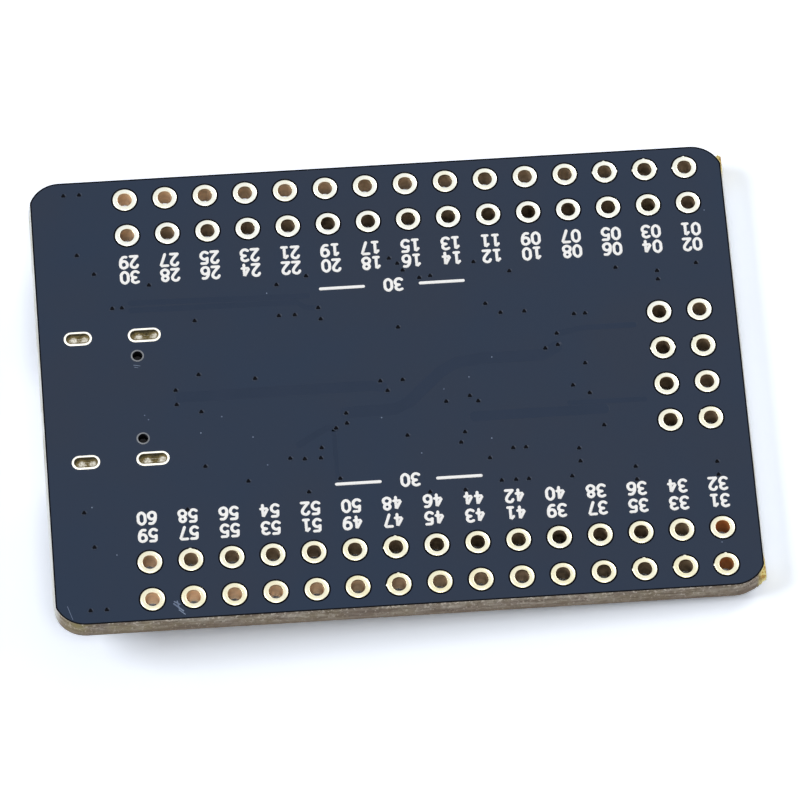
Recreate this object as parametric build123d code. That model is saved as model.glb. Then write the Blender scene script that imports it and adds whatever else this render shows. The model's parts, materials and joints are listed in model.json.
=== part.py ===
from build123d import *
import os

# A small microcontroller development board with unfilled header holes, lying component side down.
# +Z is up, out of the solder side. X runs along the long side, with the USB-C mouth towards -X.
# The origin is under the middle of the board, on the surface that the USB-C shell stands on.
# All sizes are in millimetres. A component's place is its middle: how far past the connector's tails,
# and how far across from the board's middle.

# ---- Bare board ----
board_length = 44.12  # over the snapped ends
board_width = 30.84
board_thickness = 1.6
corner_radius = 2.0
score_depth = 0.55  # of the V-groove in each face, before the board was snapped off
score_inset = 0.13  # how far each face's end stands in from the snapped web
flake_reaches = {1: 1.45, -1: 1.3}  # past the start of the upper and the lower right-hand arc
flake_spreads = {1: 0.2, -1: 0.3}
flake_width = 0.35
flake_point = 0.15
overrun = 0.5  # of every cutter, past the face that it opens

# ---- Plated header holes ----
pitch = 2.54
header_columns = 15
inner_row_gap = 22.86  # between the two inner rows
pin_hole_diameter = 0.92
header_end_inset = 2.45  # the last column's middle, from the board's far end
block_columns = 2
block_rows = 4

# ---- USB-C receptacle ----
shell_width = 8.94
shell_height = 3.16
shell_length = 7.35
shell_wall = 0.3
mouth_setback = 0.16  # behind the board's snapped end
front_tab_place = 2.42  # each tab's middle, from the mouth
tab_spacing = 4.17  # front tab to rear tab
front_tab_width = 1.0
rear_tab_width = 1.3
tab_reach = 1.45  # below the board's component side
tab_tip_chamfer = 0.15
slot_clearance = 0.4  # in length, round a tab
slot_width = 0.6
insulator_clearance = 0.02
insulator_depth = 1.45  # of the block that closes the shell's rear
tongue_width = 6.69
tongue_thickness = 0.7
tongue_setback = 0.75  # behind the mouth
tongue_root_length = 1.1
tongue_root_thickness = 1.2
peg_spacing = 5.78
peg_place = 6.07  # from the mouth
peg_diameter = 0.55
peg_hole_diameter = 0.65
peg_reach = 1.0
peg_window_diameter = 0.8  # in the shell's floor
catch_window_length = 0.9
catch_window_width = 1.5
catch_window_spacing = 4.6
contact_pitch = 0.5
contact_width = 0.25
contact_thickness = 0.12
contact_strip_setback = 0.45  # behind the tongue's tip
signal_contacts = 8
power_tail_width = 0.6
power_tail_place = 2.4
ground_tail_place = 3.1
tail_run = 0.3  # from the block to the riser's outer face
tail_foot = 0.9

# ---- Microcontroller ----
mcu_size = 10.0
mcu_place = (17.75, 0.0)
mcu_leads_per_side = 16
mcu_lead_pitch = 0.5
mcu_lead_width = 0.22
mcu_lead_span = 12.0
mcu_lead_shoulder = 0.3
mcu_lead_foot = 0.45
mcu_height = 1.5
mark_diameter = 0.9
mark_depth = 0.06
mark_inset = 1.1

# ---- Regulator and diode ----
regulator_length = 2.9
regulator_width = 1.6
regulator_height = 1.1
regulator_lead_span = 2.8
regulator_lead_pitch = 0.95
regulator_lead_width = 0.4
regulator_lead_shoulder = 0.12
regulator_lead_foot = 0.35
regulator_place = (8.65, -6.4)
diode_length = 1.7
diode_width = 1.25
diode_height = 0.95
diode_tab_span = 2.6
diode_tab_width = 0.3
diode_tab_shoulder = 0.12
diode_tab_foot = 0.25
diode_place = (1.15, 6.3)
package_standoff = 0.1  # under the bodies that stand on bent leads
lead_thickness = 0.15
lead_rake = 0.05  # how far a lead's sloping part leans over its own thickness
mould_draft = 8.0  # degrees

# ---- Crystals ----
main_crystal_size = (3.2, 2.5)
main_crystal_place = (8.75, 4.6)
clock_crystal_size = (3.2, 1.5)
clock_crystal_place = (8.75, 0.2)
crystal_base_height = 0.5
crystal_lid_height = 0.25
crystal_lid_inset = 0.2
crystal_corner = 0.25

# ---- Push switches ----
switch_column = 4.05
switch_spacing = 6.6
switch_length = 3.6
switch_width = 2.9
switch_corner = 0.3
switch_base_height = 1.2
switch_floor = 0.45
cavity_diameter = 2.3
cover_thickness = 0.15
cover_hole_clearance = 0.05
cover_ear_width = 1.2
cover_ear_drop = 0.6
button_diameter = 1.5
button_height = 2.0  # top of the button, above the board
button_chamfer = 0.15
flange_diameter = 2.1
flange_clearance = 0.02
dome_diameter = 2.15
dome_rise = 0.33
dome_thickness = 0.07
dome_clearance = 0.02
terminal_width = 0.6
terminal_spacing = 1.7
terminal_thickness = 0.15
terminal_reach = 0.5

# ---- Lights, capacitors and resistors ----
light_length = 1.6
light_width = 0.8
light_base_height = 0.3
light_lens_height = 0.35
light_lens_inset = 0.3
light_places = [(26.75, 3.0), (26.75, -3.0)]
small_chip = (1.0, 0.5, 0.5)  # length, width and height
large_chip = (1.6, 0.8, 0.8)
resistor_height = 0.35
end_cap_length = 0.25
small_capacitor_places = [
    (25.35, 4.4, 90), (25.35, -4.4, 90), (15.35, 7.4, 0), (20.55, 7.4, 0), (15.35, -7.4, 0),
    (20.55, -7.4, 0), (10.85, 5.6, 90), (6.75, 5.6, 90), (10.15, -1.6, 90), (7.15, -1.6, 90),
]
large_capacitor_places = [(11.75, -7.6, 90), (1.05, -6.2, 90)]
resistor_places = [
    (0.95, 2.4, 0), (0.95, -2.4, 0), (0.95, -3.8, 0), (28.25, 3.0, 90), (28.25, -3.0, 90),
    (25.35, 7.4, 0), (7.15, 8.6, 0),
]

# ---- Places that follow from the sizes ----
component_side = shell_height
back_face = component_side + board_thickness
web_low = component_side + score_depth
web_thickness = board_thickness - 2 * score_depth
mouth = -board_length / 2 + mouth_setback
connector_rear = mouth + shell_length + tail_run + tail_foot
shell_middle = shell_height / 2
switch_places = {"reset": switch_spacing, "boot": 0.0, "user": -switch_spacing}


def hung(shape, x, y, turn=0):
    """Hang a shape, drawn standing on z = 0, under the board at x, y."""
    return Pos(x, y, component_side) * Rot(180, 0, 0) * Rot(0, 0, turn) * shape


def on_board(shape, past_tails, y, turn=0):
    """Hang a component under the board, its place measured from the end of the connector's tails."""
    return hung(shape, connector_rear + past_tails, y, turn)


def block(length, width, low, high):
    """A box centred on the Z axis, between two heights."""
    return Pos(0, 0, low) * Box(length, width, high - low, align=(Align.CENTER, Align.CENTER, Align.MIN))


def disc(diameter, low, high):
    """A cylinder on the Z axis, between two heights."""
    return Pos(0, 0, low) * Cylinder(diameter / 2, high - low, align=(Align.CENTER, Align.CENTER, Align.MIN))


def cut_corner_slab(length, width, corner, low, high):
    """A slab with its four upright edges cut off at 45 degrees."""
    slab = block(length, width, low, high)
    return chamfer(slab.edges().filter_by(Axis.Z), corner)


def side_profile(points, width):
    """A profile drawn in X and Z, carried across Y and centred there."""
    return extrude(Plane.XZ * make_face(Polyline(*points, close=True)), width / 2, both=True)


# ---- Bare board ----
def header_hole_places():
    """The middle of every plated pin hole: four long rows and the block between them."""
    places = []
    first = board_length / 2 - header_end_inset - (header_columns - 1) * pitch
    for column in range(header_columns):
        for row in (inner_row_gap / 2, inner_row_gap / 2 + pitch):
            places += [(first + column * pitch, row), (first + column * pitch, -row)]
    for column in range(header_columns - block_columns, header_columns):
        for row in range(block_rows):
            places.append((first + column * pitch, (row - (block_rows - 1) / 2) * pitch))
    return places


def tab_places():
    """Each shell tab: its middle in X and Y, and its width along X."""
    across = (shell_width - shell_wall) / 2
    tabs = ((front_tab_place, front_tab_width), (front_tab_place + tab_spacing, rear_tab_width))
    return [(mouth + along, side * across, width) for along, width in tabs for side in (-1, 1)]


def score_cut(end, face, into):
    """The wedge that one V-groove takes off one end, at one face. into is -1 below a face, 1 above it."""
    edge, clear = end * board_length / 2, end * overrun
    points = [
        (edge - end * score_inset, face), (edge, face + into * score_depth),
        (edge + clear, face + into * score_depth), (edge + clear, face - into * overrun),
        (edge - end * score_inset, face - into * overrun),
    ]
    return side_profile(points, board_width + 2 * overrun)


def snap_flake(side):
    """A flake of the torn score web left outside a right-hand corner's arc."""
    edge, start = board_length / 2, board_width / 2 - corner_radius
    tip, heel = start + flake_reaches[side], edge - flake_spreads[side]
    points = [
        (edge - corner_radius, side * start), (edge, side * start), (edge, side * tip),
        (heel, side * (tip + flake_point)), (heel - flake_width, side * (tip - 2 * flake_point)),
    ]
    outline = make_face(Polyline(*points, close=True))
    return extrude(Pos(0, 0, web_low) * outline, web_thickness)


def bare_board():
    """The slab with its scored ends, torn flakes, pin holes, tab slots and peg holes."""
    outline = RectangleRounded(board_length, board_width, corner_radius)
    outline -= [Pos(x, y) * Circle(pin_hole_diameter / 2) for x, y in header_hole_places()]
    outline -= [Pos(x, y) * SlotOverall(width + slot_clearance, slot_width) for x, y, width in tab_places()]
    for side in (-1, 1):
        outline -= Pos(mouth + peg_place, side * peg_spacing / 2) * Circle(peg_hole_diameter / 2)
    board = extrude(Pos(0, 0, component_side) * outline, board_thickness)
    for end in (-1, 1):
        board -= score_cut(end, back_face, -1)
        board -= score_cut(end, component_side, 1)
    return board + snap_flake(1) + snap_flake(-1)


# ---- USB-C receptacle, drawn on the board's component side with its mouth at x = 0 ----
def in_receptacle(shape):
    """Hang a piece of the receptacle under the board."""
    return hung(shape, mouth, 0)


def shell_section(width, height, start, length):
    """A solid of the shell's round-sided section, carried along X."""
    section = Plane.YZ * SlotOverall(width, height)
    return extrude(Pos(start, 0, shell_middle) * section, length)


def usb_shell():
    """The stamped tube with its four tabs, its catch windows and the openings for the pegs."""
    shell = shell_section(shell_width, shell_height, 0, shell_length)
    for side in (-1, 1):
        for along, width in ((front_tab_place, front_tab_width),
                             (front_tab_place + tab_spacing, rear_tab_width)):
            tab = block(width, shell_wall, -tab_reach, shell_middle)
            tab = chamfer(tab.edges().filter_by(Axis.Y).group_by(Axis.Z)[0], tab_tip_chamfer)
            shell += Pos(along, side * (shell_width - shell_wall) / 2, 0) * tab
    shell -= shell_section(shell_width - 2 * shell_wall, shell_height - 2 * shell_wall, -overrun,
                           shell_length + 2 * overrun)
    for side in (-1, 1):
        peg_window = disc(peg_window_diameter, -overrun, shell_wall + overrun)
        shell -= Pos(peg_place, side * peg_spacing / 2, 0) * peg_window
        window = block(catch_window_length, catch_window_width, shell_height - shell_wall - overrun,
                       shell_height + overrun)
        shell -= Pos(shell_length - insulator_depth / 2, side * catch_window_spacing / 2, 0) * window
    return shell


def contact_lines():
    """Each contact: the middle of its strip on the tongue, and its tail's middle and width."""
    lines = []
    for index in range(signal_contacts):
        middle = (index - (signal_contacts - 1) / 2) * contact_pitch
        lines.append((middle, middle, contact_width))
    outermost = signal_contacts / 2 * contact_pitch + contact_pitch / 2
    for side in (-1, 1):
        lines.append((side * outermost, side * power_tail_place, power_tail_width))
        lines.append((side * (outermost + contact_pitch), side * ground_tail_place, power_tail_width))
    return lines


def strip_heights():
    """The lower edges of the contact strips on the tongue's two faces."""
    half = tongue_thickness / 2
    return shell_middle - half, shell_middle + half - contact_thickness


def usb_contacts():
    """Strips set into both faces of the tongue. Those on the board's side end in soldered tails."""
    low, high = strip_heights()
    tip, rear = tongue_setback + contact_strip_setback, shell_length
    riser, foot = rear + tail_run, rear + tail_run + tail_foot - contact_thickness
    pieces = []
    for middle, tail, tail_width in contact_lines():
        strip = side_profile([(tip, low), (rear, low), (rear, low + contact_thickness),
                              (tip, low + contact_thickness)], contact_width)
        bent = [
            (rear, low), (riser - contact_thickness, low), (riser - contact_thickness, 0), (foot, 0),
            (foot, contact_thickness), (riser, contact_thickness), (riser, low + contact_thickness),
            (rear, low + contact_thickness),
        ]
        pieces.append(Pos(0, middle, 0) * strip + Pos(0, tail, 0) * side_profile(bent, tail_width))
        upper = side_profile([(tip, high), (rear - insulator_depth / 2, high),
                              (rear - insulator_depth / 2, high + contact_thickness),
                              (tip, high + contact_thickness)], contact_width)
        pieces.append(Pos(0, middle, 0) * upper)
    return pieces


def usb_insulator():
    """The moulded block at the shell's rear, with the tongue, its stepped root and two pegs."""
    inner_width = shell_width - 2 * (shell_wall + insulator_clearance)
    inner_height = shell_height - 2 * (shell_wall + insulator_clearance)
    front = shell_length - insulator_depth
    body = shell_section(inner_width, inner_height, front, insulator_depth)
    half = tongue_thickness / 2
    tongue = block(front - tongue_setback, tongue_width, shell_middle - half, shell_middle + half)
    tongue = fillet(tongue.edges().filter_by(Axis.Z).group_by(Axis.X)[0], half)
    body += Pos((front + tongue_setback) / 2, 0, 0) * tongue
    step = tongue_root_thickness / 2
    root = block(tongue_root_length, tongue_width, shell_middle - step, shell_middle + step)
    body += Pos(front - tongue_root_length / 2, 0, 0) * root
    for side in (-1, 1):
        body += Pos(peg_place, side * peg_spacing / 2, 0) * disc(peg_diameter, -peg_reach, shell_middle)
    for contact in usb_contacts():
        body -= contact
    return body


# ---- Moulded packages with bent leads, drawn standing on z = 0 ----
def lead_band(standoff, height):
    """The lower and upper edges of the band round a body that its leads leave from."""
    low = (standoff + height - lead_thickness) / 2
    return low, low + lead_thickness


def moulded_body(length, width, standoff, height):
    """A package body: drafted below and above the band that the leads leave from."""
    band_low, band_high = lead_band(standoff, height)
    outline = Rectangle(length, width)
    body = block(length, width, band_low, band_high)
    body += extrude(Pos(0, 0, band_high) * outline, height - band_high, taper=mould_draft)
    return body + extrude(Pos(0, 0, band_low) * outline, standoff - band_low, taper=mould_draft)


def bent_lead(start, end, shoulder, foot, band, width):
    """One gull-wing lead, from the body's band at x = start out to its toe at x = end."""
    low, high = band
    knee, heel = start + shoulder, end - foot
    points = [
        (start, high), (knee, high), (heel + lead_rake, lead_thickness), (end, lead_thickness),
        (end, 0), (heel, 0), (knee - lead_rake, low), (start, low),
    ]
    return side_profile(points, width)


def microcontroller_body():
    """The square body with its round pin-one mark."""
    body = moulded_body(mcu_size, mcu_size, package_standoff, mcu_height)
    corner = mcu_size / 2 - mark_inset
    mark = Pos(-corner, corner, 0) * disc(mark_diameter, mcu_height - mark_depth, mcu_height + overrun)
    return on_board(body - mark, *mcu_place)


def microcontroller_leads():
    """Sixteen bent leads on each of four sides."""
    lead = bent_lead(mcu_size / 2, mcu_lead_span / 2, mcu_lead_shoulder, mcu_lead_foot,
                     lead_band(package_standoff, mcu_height), mcu_lead_width)
    leads = []
    for side in range(4):
        for index in range(mcu_leads_per_side):
            across = (index - (mcu_leads_per_side - 1) / 2) * mcu_lead_pitch
            leads.append(on_board(Rot(0, 0, 90 * side) * Pos(0, across, 0) * lead, *mcu_place))
    return leads


def regulator_body():
    """The regulator's body, its length along its own Y."""
    body = moulded_body(regulator_width, regulator_length, package_standoff, regulator_height)
    return on_board(body, *regulator_place)


def regulator_leads():
    """Three leads on one side and two on the other."""
    lead = bent_lead(regulator_width / 2, regulator_lead_span / 2, regulator_lead_shoulder,
                     regulator_lead_foot, lead_band(package_standoff, regulator_height), regulator_lead_width)
    seats = [(0, -1), (0, 0), (0, 1), (180, -1), (180, 1)]
    return [on_board(Rot(0, 0, turn) * Pos(0, step * regulator_lead_pitch, 0) * lead, *regulator_place)
            for turn, step in seats]


def diode_body():
    """The diode's moulded body."""
    return on_board(moulded_body(diode_length, diode_width, 0, diode_height), *diode_place)


def diode_tabs():
    """The diode's two bent tabs."""
    tab = bent_lead(diode_length / 2, diode_tab_span / 2, diode_tab_shoulder, diode_tab_foot,
                    lead_band(0, diode_height), diode_tab_width)
    return [on_board(Rot(0, 0, turn) * tab, *diode_place) for turn in (0, 180)]


# ---- Crystals ----
def crystal(size, place):
    """A crystal's ceramic base and the metal lid on it."""
    length, width = size
    base = cut_corner_slab(length, width, crystal_corner, 0, crystal_base_height)
    lid = cut_corner_slab(length - 2 * crystal_lid_inset, width - 2 * crystal_lid_inset, crystal_corner,
                          crystal_base_height, crystal_base_height + crystal_lid_height)
    return on_board(base, *place, 90), on_board(lid, *place, 90)


# ---- Push switches, drawn standing on z = 0 ----
def switch_base():
    """The moulded base: a tray with a round cavity for the dome and the button's flange."""
    base = cut_corner_slab(switch_length, switch_width, switch_corner, 0, switch_base_height)
    return base - disc(cavity_diameter, switch_floor, switch_base_height + overrun)


def switch_cover():
    """The stamped cover, with the button's hole and an ear folded down at each end."""
    top = switch_base_height + cover_thickness
    cover = cut_corner_slab(switch_length + 2 * cover_thickness, switch_width, switch_corner,
                            switch_base_height, top)
    cover -= disc(button_diameter + 2 * cover_hole_clearance, switch_base_height - overrun, top + overrun)
    for side in (-1, 1):
        ear = block(cover_thickness, cover_ear_width, switch_base_height - cover_ear_drop, top)
        cover += Pos(side * (switch_length + cover_thickness) / 2, 0, 0) * ear
    return cover


def switch_dome():
    """The snap dome: a thin shallow cap that stands on its rim on the cavity's floor."""
    half, crown = dome_diameter / 2, switch_floor + dome_rise
    edge = half - dome_thickness
    section = Polyline((0, crown), (half, switch_floor), (edge, switch_floor), (0, crown - dome_thickness),
                       close=True)
    return revolve(Plane.XZ * make_face(section), Axis.Z)


def switch_button():
    """The button: a stem through the cover, and a thick flange between the cover and the dome."""
    low = switch_floor + dome_rise + dome_clearance
    high = switch_base_height - flange_clearance
    stem = disc(button_diameter, low, button_height)
    stem = chamfer(stem.edges().group_by(Axis.Z)[-1], button_chamfer)
    return stem + disc(flange_diameter, low, high)


def switch_terminals():
    """Four flat terminals at each switch."""
    pieces = []
    for place in switch_places.values():
        for end in (-1, 1):
            for side in (-1, 1):
                leaf = block(terminal_reach, terminal_width, 0, terminal_thickness)
                leaf = Pos(end * (switch_length + terminal_reach) / 2, side * terminal_spacing / 2, 0) * leaf
                pieces.append(on_board(leaf, switch_column, place, 90))
    return pieces


# ---- Lights, capacitors and resistors ----
def light_bases():
    """The lights' flat bases."""
    return [on_board(block(light_length, light_width, 0, light_base_height), *place, 90)
            for place in light_places]


def light_lenses():
    """The clear lenses on the bases, drafted on every side."""
    outline = Rectangle(light_length - 2 * light_lens_inset, light_width)
    lens = extrude(Pos(0, 0, light_base_height) * outline, light_lens_height, taper=mould_draft)
    return [on_board(lens, *place, 90) for place in light_places]


def chip(size, x, y, turn):
    """A chip component: the body between its caps, and the two end caps."""
    length, width, height = size
    body = block(length - 2 * end_cap_length, width, 0, height)
    caps = [Pos(end * (length - end_cap_length) / 2, 0, 0) * block(end_cap_length, width, 0, height)
            for end in (-1, 1)]
    return on_board(body, x, y, turn), [on_board(cap, x, y, turn) for cap in caps]


def chips(size, places):
    """Bodies and end caps of like chip components."""
    made = [chip(size, *place) for place in places]
    return [body for body, _ in made], [cap for _, caps in made for cap in caps]


# ---- Every node ----
def nodes():
    """Each node's name and its solid or solids."""
    main_base, main_lid = crystal(main_crystal_size, main_crystal_place)
    clock_base, clock_lid = crystal(clock_crystal_size, clock_crystal_place)
    small_bodies, small_caps = chips(small_chip, small_capacitor_places)
    large_bodies, large_caps = chips(large_chip, large_capacitor_places)
    resistor_size = (small_chip[0], small_chip[1], resistor_height)
    resistor_bodies, resistor_caps = chips(resistor_size, resistor_places)
    made = {
        "bare_board": bare_board(),
        "usb_shell": in_receptacle(usb_shell()),
        "usb_insulator": in_receptacle(usb_insulator()),
        "usb_contacts": [in_receptacle(piece) for piece in usb_contacts()],
        "microcontroller_body": microcontroller_body(),
        "microcontroller_leads": microcontroller_leads(),
        "regulator_body": regulator_body(),
        "regulator_leads": regulator_leads(),
        "diode_body": diode_body(),
        "diode_tabs": diode_tabs(),
        "main_crystal_base": main_base,
        "main_crystal_lid": main_lid,
        "clock_crystal_base": clock_base,
        "clock_crystal_lid": clock_lid,
        "switch_terminals": switch_terminals(),
        "light_bases": light_bases(),
        "light_lenses": light_lenses(),
        "capacitor_bodies": small_bodies + large_bodies,
        "capacitor_end_caps": small_caps + large_caps,
        "resistor_bodies": resistor_bodies,
        "resistor_end_caps": resistor_caps,
    }
    for name, place in switch_places.items():
        made[f"{name}_switch_base"] = on_board(switch_base(), switch_column, place, 90)
        made[f"{name}_switch_cover"] = on_board(switch_cover(), switch_column, place, 90)
        made[f"{name}_switch_dome"] = on_board(switch_dome(), switch_column, place, 90)
        made[f"{name}_button"] = on_board(switch_button(), switch_column, place, 90)
    return made


def solids_in(made):
    """The plain solids of a shape or of a list of shapes."""
    shapes = made if isinstance(made, list) else [made]
    return [solid for shape in shapes for solid in shape.solids()]


os.makedirs("parts", exist_ok=True)
for node, made in nodes().items():
    solids = solids_in(made)
    export_step(solids[0] if len(solids) == 1 else Compound(children=solids), f"parts/{node}.step")
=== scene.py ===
"""A small microcontroller development board, lying component side down on a pale studio floor.

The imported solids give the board's places and sizes. This script adds the copper lands and hole
linings, the solder, the printed numbers, the covered vias and traces, the wear, and the finishes.
The board is level, as it is packed, and the floor slopes a little to meet it as it would lie.
Lengths in the classes are millimetres; the meshes are made in metres.
"""

from __future__ import annotations

import json
import logging
import math
from dataclasses import dataclass, field
from enum import Enum
from typing import Any, Iterable, Sequence

import bpy
import numpy as np
from mathutils import Matrix, Vector

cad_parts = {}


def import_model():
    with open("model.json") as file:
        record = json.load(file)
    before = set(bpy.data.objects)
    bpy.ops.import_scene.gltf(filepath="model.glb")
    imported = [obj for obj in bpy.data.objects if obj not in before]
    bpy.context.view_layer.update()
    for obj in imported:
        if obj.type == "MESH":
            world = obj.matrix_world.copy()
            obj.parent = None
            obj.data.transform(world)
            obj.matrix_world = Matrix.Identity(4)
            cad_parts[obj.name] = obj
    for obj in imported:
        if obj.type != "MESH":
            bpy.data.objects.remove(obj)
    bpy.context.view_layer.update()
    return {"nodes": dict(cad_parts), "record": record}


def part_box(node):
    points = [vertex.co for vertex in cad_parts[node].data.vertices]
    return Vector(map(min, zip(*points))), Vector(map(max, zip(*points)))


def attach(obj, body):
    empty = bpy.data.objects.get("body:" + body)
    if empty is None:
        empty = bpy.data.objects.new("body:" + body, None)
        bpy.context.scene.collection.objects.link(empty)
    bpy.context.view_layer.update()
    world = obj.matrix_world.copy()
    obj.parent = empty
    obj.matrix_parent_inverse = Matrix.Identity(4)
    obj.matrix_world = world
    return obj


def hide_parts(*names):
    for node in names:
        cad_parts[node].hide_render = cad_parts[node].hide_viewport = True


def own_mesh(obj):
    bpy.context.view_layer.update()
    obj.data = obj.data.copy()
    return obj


LOG = logging.getLogger("development_board")
MM = 0.001
BOARD = "board"
BUTTONS = ("reset", "boot", "user")
SUNK = 0.01  # how far a thin piece reaches into the board under it, in millimetres
LINING_TONE = 0.6  # the tones of a hole's lining go from here up to 1, and those of lands up to a half
Colour = tuple[float, float, float, float]
Place = tuple[float, float]
Triple = tuple[float, float, float]


# ---------------------------------------------------------------- surfaces
@dataclass
class Surface:
    """Points in millimetres, the quads between them, the polygons that close its ends, and a tone.

    The tone is a number from 0 to 1 at each point, which some finishes read.
    """

    points: np.ndarray
    quads: np.ndarray
    caps: list[np.ndarray] = field(default_factory=list)
    tone: np.ndarray | None = None

    def __post_init__(self) -> None:
        """Gives every point the tone 0 where none was given."""
        if self.tone is None:
            self.tone = np.zeros(len(self.points))

    def outward(self) -> "Surface":
        """Turns a closed surface the right way out.

        The signed volume is a sixth of the sum, over the triangles, of a . (b x c). It is negative
        where the faces point inwards, and then every face is reversed.

        Returns:
            The surface itself.
        """
        fans = [self.quads[:, [0, 1, 2]], self.quads[:, [0, 2, 3]]]
        for cap in self.caps:
            first = np.full(len(cap) - 2, cap[0])
            fans.append(np.stack([first, cap[1:-1], cap[2:]], axis=1))
        a, b, c = (self.points[np.concatenate(fans)[:, k]] for k in range(3))
        if np.einsum("ij,ij->", a, np.cross(b, c)) < 0:
            self.quads = self.quads[:, ::-1]
            self.caps = [cap[::-1] for cap in self.caps]
        return self

    def moved(self, x: float = 0, y: float = 0, z: float = 0) -> "Surface":
        """Returns a copy moved by x, y and z."""
        return Surface(self.points + np.array([x, y, z]), self.quads, self.caps, self.tone)

    def flipped(self) -> "Surface":
        """Returns a copy of a closed surface mirrored in the plane z = 0, the right way out."""
        return Surface(self.points * np.array([1, 1, -1]), self.quads, self.caps, self.tone).outward()

    def turned(self, angle: float) -> "Surface":
        """Turns the surface about the Z axis.

        Args:
            angle: The angle in degrees, counter-clockwise seen from above.

        Returns:
            A turned copy.
        """
        c, s = math.cos(math.radians(angle)), math.sin(math.radians(angle))
        turn = np.array([[c, -s, 0], [s, c, 0], [0, 0, 1]])
        return Surface(self.points @ turn.T, self.quads, self.caps, self.tone)


def joined(surfaces: Iterable[Surface]) -> Surface:
    """Puts surfaces together as one, each with its own points.

    Args:
        surfaces: The surfaces, in order.

    Returns:
        One surface that holds them all.
    """
    parts = list(surfaces)
    starts = np.cumsum([0] + [len(part.points) for part in parts])
    caps = [cap + start for part, start in zip(parts, starts) for cap in part.caps]
    quads = np.concatenate([part.quads + start for part, start in zip(parts, starts)])
    points = np.concatenate([part.points for part in parts])
    return Surface(points, quads, caps, np.concatenate([part.tone for part in parts]))


def grid_quads(rows: int, columns: int, wrap_rows: bool, wrap_columns: bool) -> np.ndarray:
    """The quads of a grid of points stored row by row.

    Args:
        rows: How many rows of points there are.
        columns: How many points each row has.
        wrap_rows: True if the last row joins the first.
        wrap_columns: True if each row's last point joins its first.

    Returns:
        An array of four point numbers for each quad.
    """
    last_row, last_column = rows - (not wrap_rows), columns - (not wrap_columns)
    i, j = np.meshgrid(np.arange(last_row), np.arange(last_column), indexing="ij")
    below, right = (i + 1) % rows, (j + 1) % columns
    corners = [i * columns + j, i * columns + right, below * columns + right, below * columns + j]
    return np.stack([corner.ravel() for corner in corners], axis=1)


def skin(rings: np.ndarray, loop: bool = False, tone: np.ndarray | None = None) -> Surface:
    """A closed surface through rings of points, each of which closes on itself.

    Args:
        rings: The points, as an array of rings by points by three.
        loop: True if the last ring joins the first. Flat caps close the two ends otherwise.
        tone: The tone of each point.

    Returns:
        The surface, the right way out.
    """
    count, around = rings.shape[:2]
    caps = [] if loop else [np.arange(around)[::-1], np.arange(around) + (count - 1) * around]
    quads = grid_quads(count, around, loop, True)
    return Surface(rings.reshape(-1, 3), quads, caps, None if tone is None else tone.ravel()).outward()


def lathe(profile: Sequence[Place], segments: int, loop: bool = True) -> Surface:
    """A shape turned about the Z axis: (r cos a, r sin a, z) for each profile point and each angle a.

    Args:
        profile: Radius and height of the profile's points, none of them on the axis.
        segments: How many steps the full turn has.
        loop: True for a ring with a closed profile. Flat caps close the first and last ring otherwise.

    Returns:
        A closed surface.
    """
    angle = np.linspace(0, 2 * math.pi, segments, endpoint=False)
    radius, height = (np.array(profile)[:, [k]] for k in range(2))
    rings = np.stack([radius * np.cos(angle), radius * np.sin(angle), height + 0 * angle], axis=-1)
    return skin(rings, loop)


def flat_ring(inner: float, outer: float, rise: float, segments: int) -> Surface:
    """A flat ring about the Z axis that stands up from z = 0 and is sunk a little below it.

    Args:
        inner: Its inner radius.
        outer: Its outer radius.
        rise: The height of its top.
        segments: How many steps the full turn has.

    Returns:
        A closed surface.
    """
    return lathe([(outer, -SUNK), (outer, rise), (inner, rise), (inner, -SUNK)], segments)


def smooth_path(knots: Sequence[Place], steps: int, loop: bool = False) -> np.ndarray:
    """A Catmull-Rom curve through the knots.

    On the span from b to c, with a before it and d after it, the point at t is half of
    2b + (c - a)t + (2a - 5b + 4c - d)t^2 + (3b - a - 3c + d)t^3. An open path repeats its ends.

    Args:
        knots: The points that the path goes through.
        steps: How many steps each span has.
        loop: True if the path closes on itself.

    Returns:
        The points of the path, one row each.
    """
    p = np.array(knots, float)
    p = np.concatenate([p[-1:], p, p[:2]]) if loop else np.concatenate([p[:1], p, p[-1:]])
    a, b, c, d = (p[k : len(p) - 3 + k, None, :] for k in range(4))
    t = np.linspace(0, 1, steps, endpoint=False)[None, :, None]
    squared, cubed = (2 * a - 5 * b + 4 * c - d) * t**2, (3 * b - a - 3 * c + d) * t**3
    points = ((2 * b + (c - a) * t + squared + cubed) / 2).reshape(-1, 2)
    return points if loop else np.concatenate([points, p[-1:]])


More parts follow.
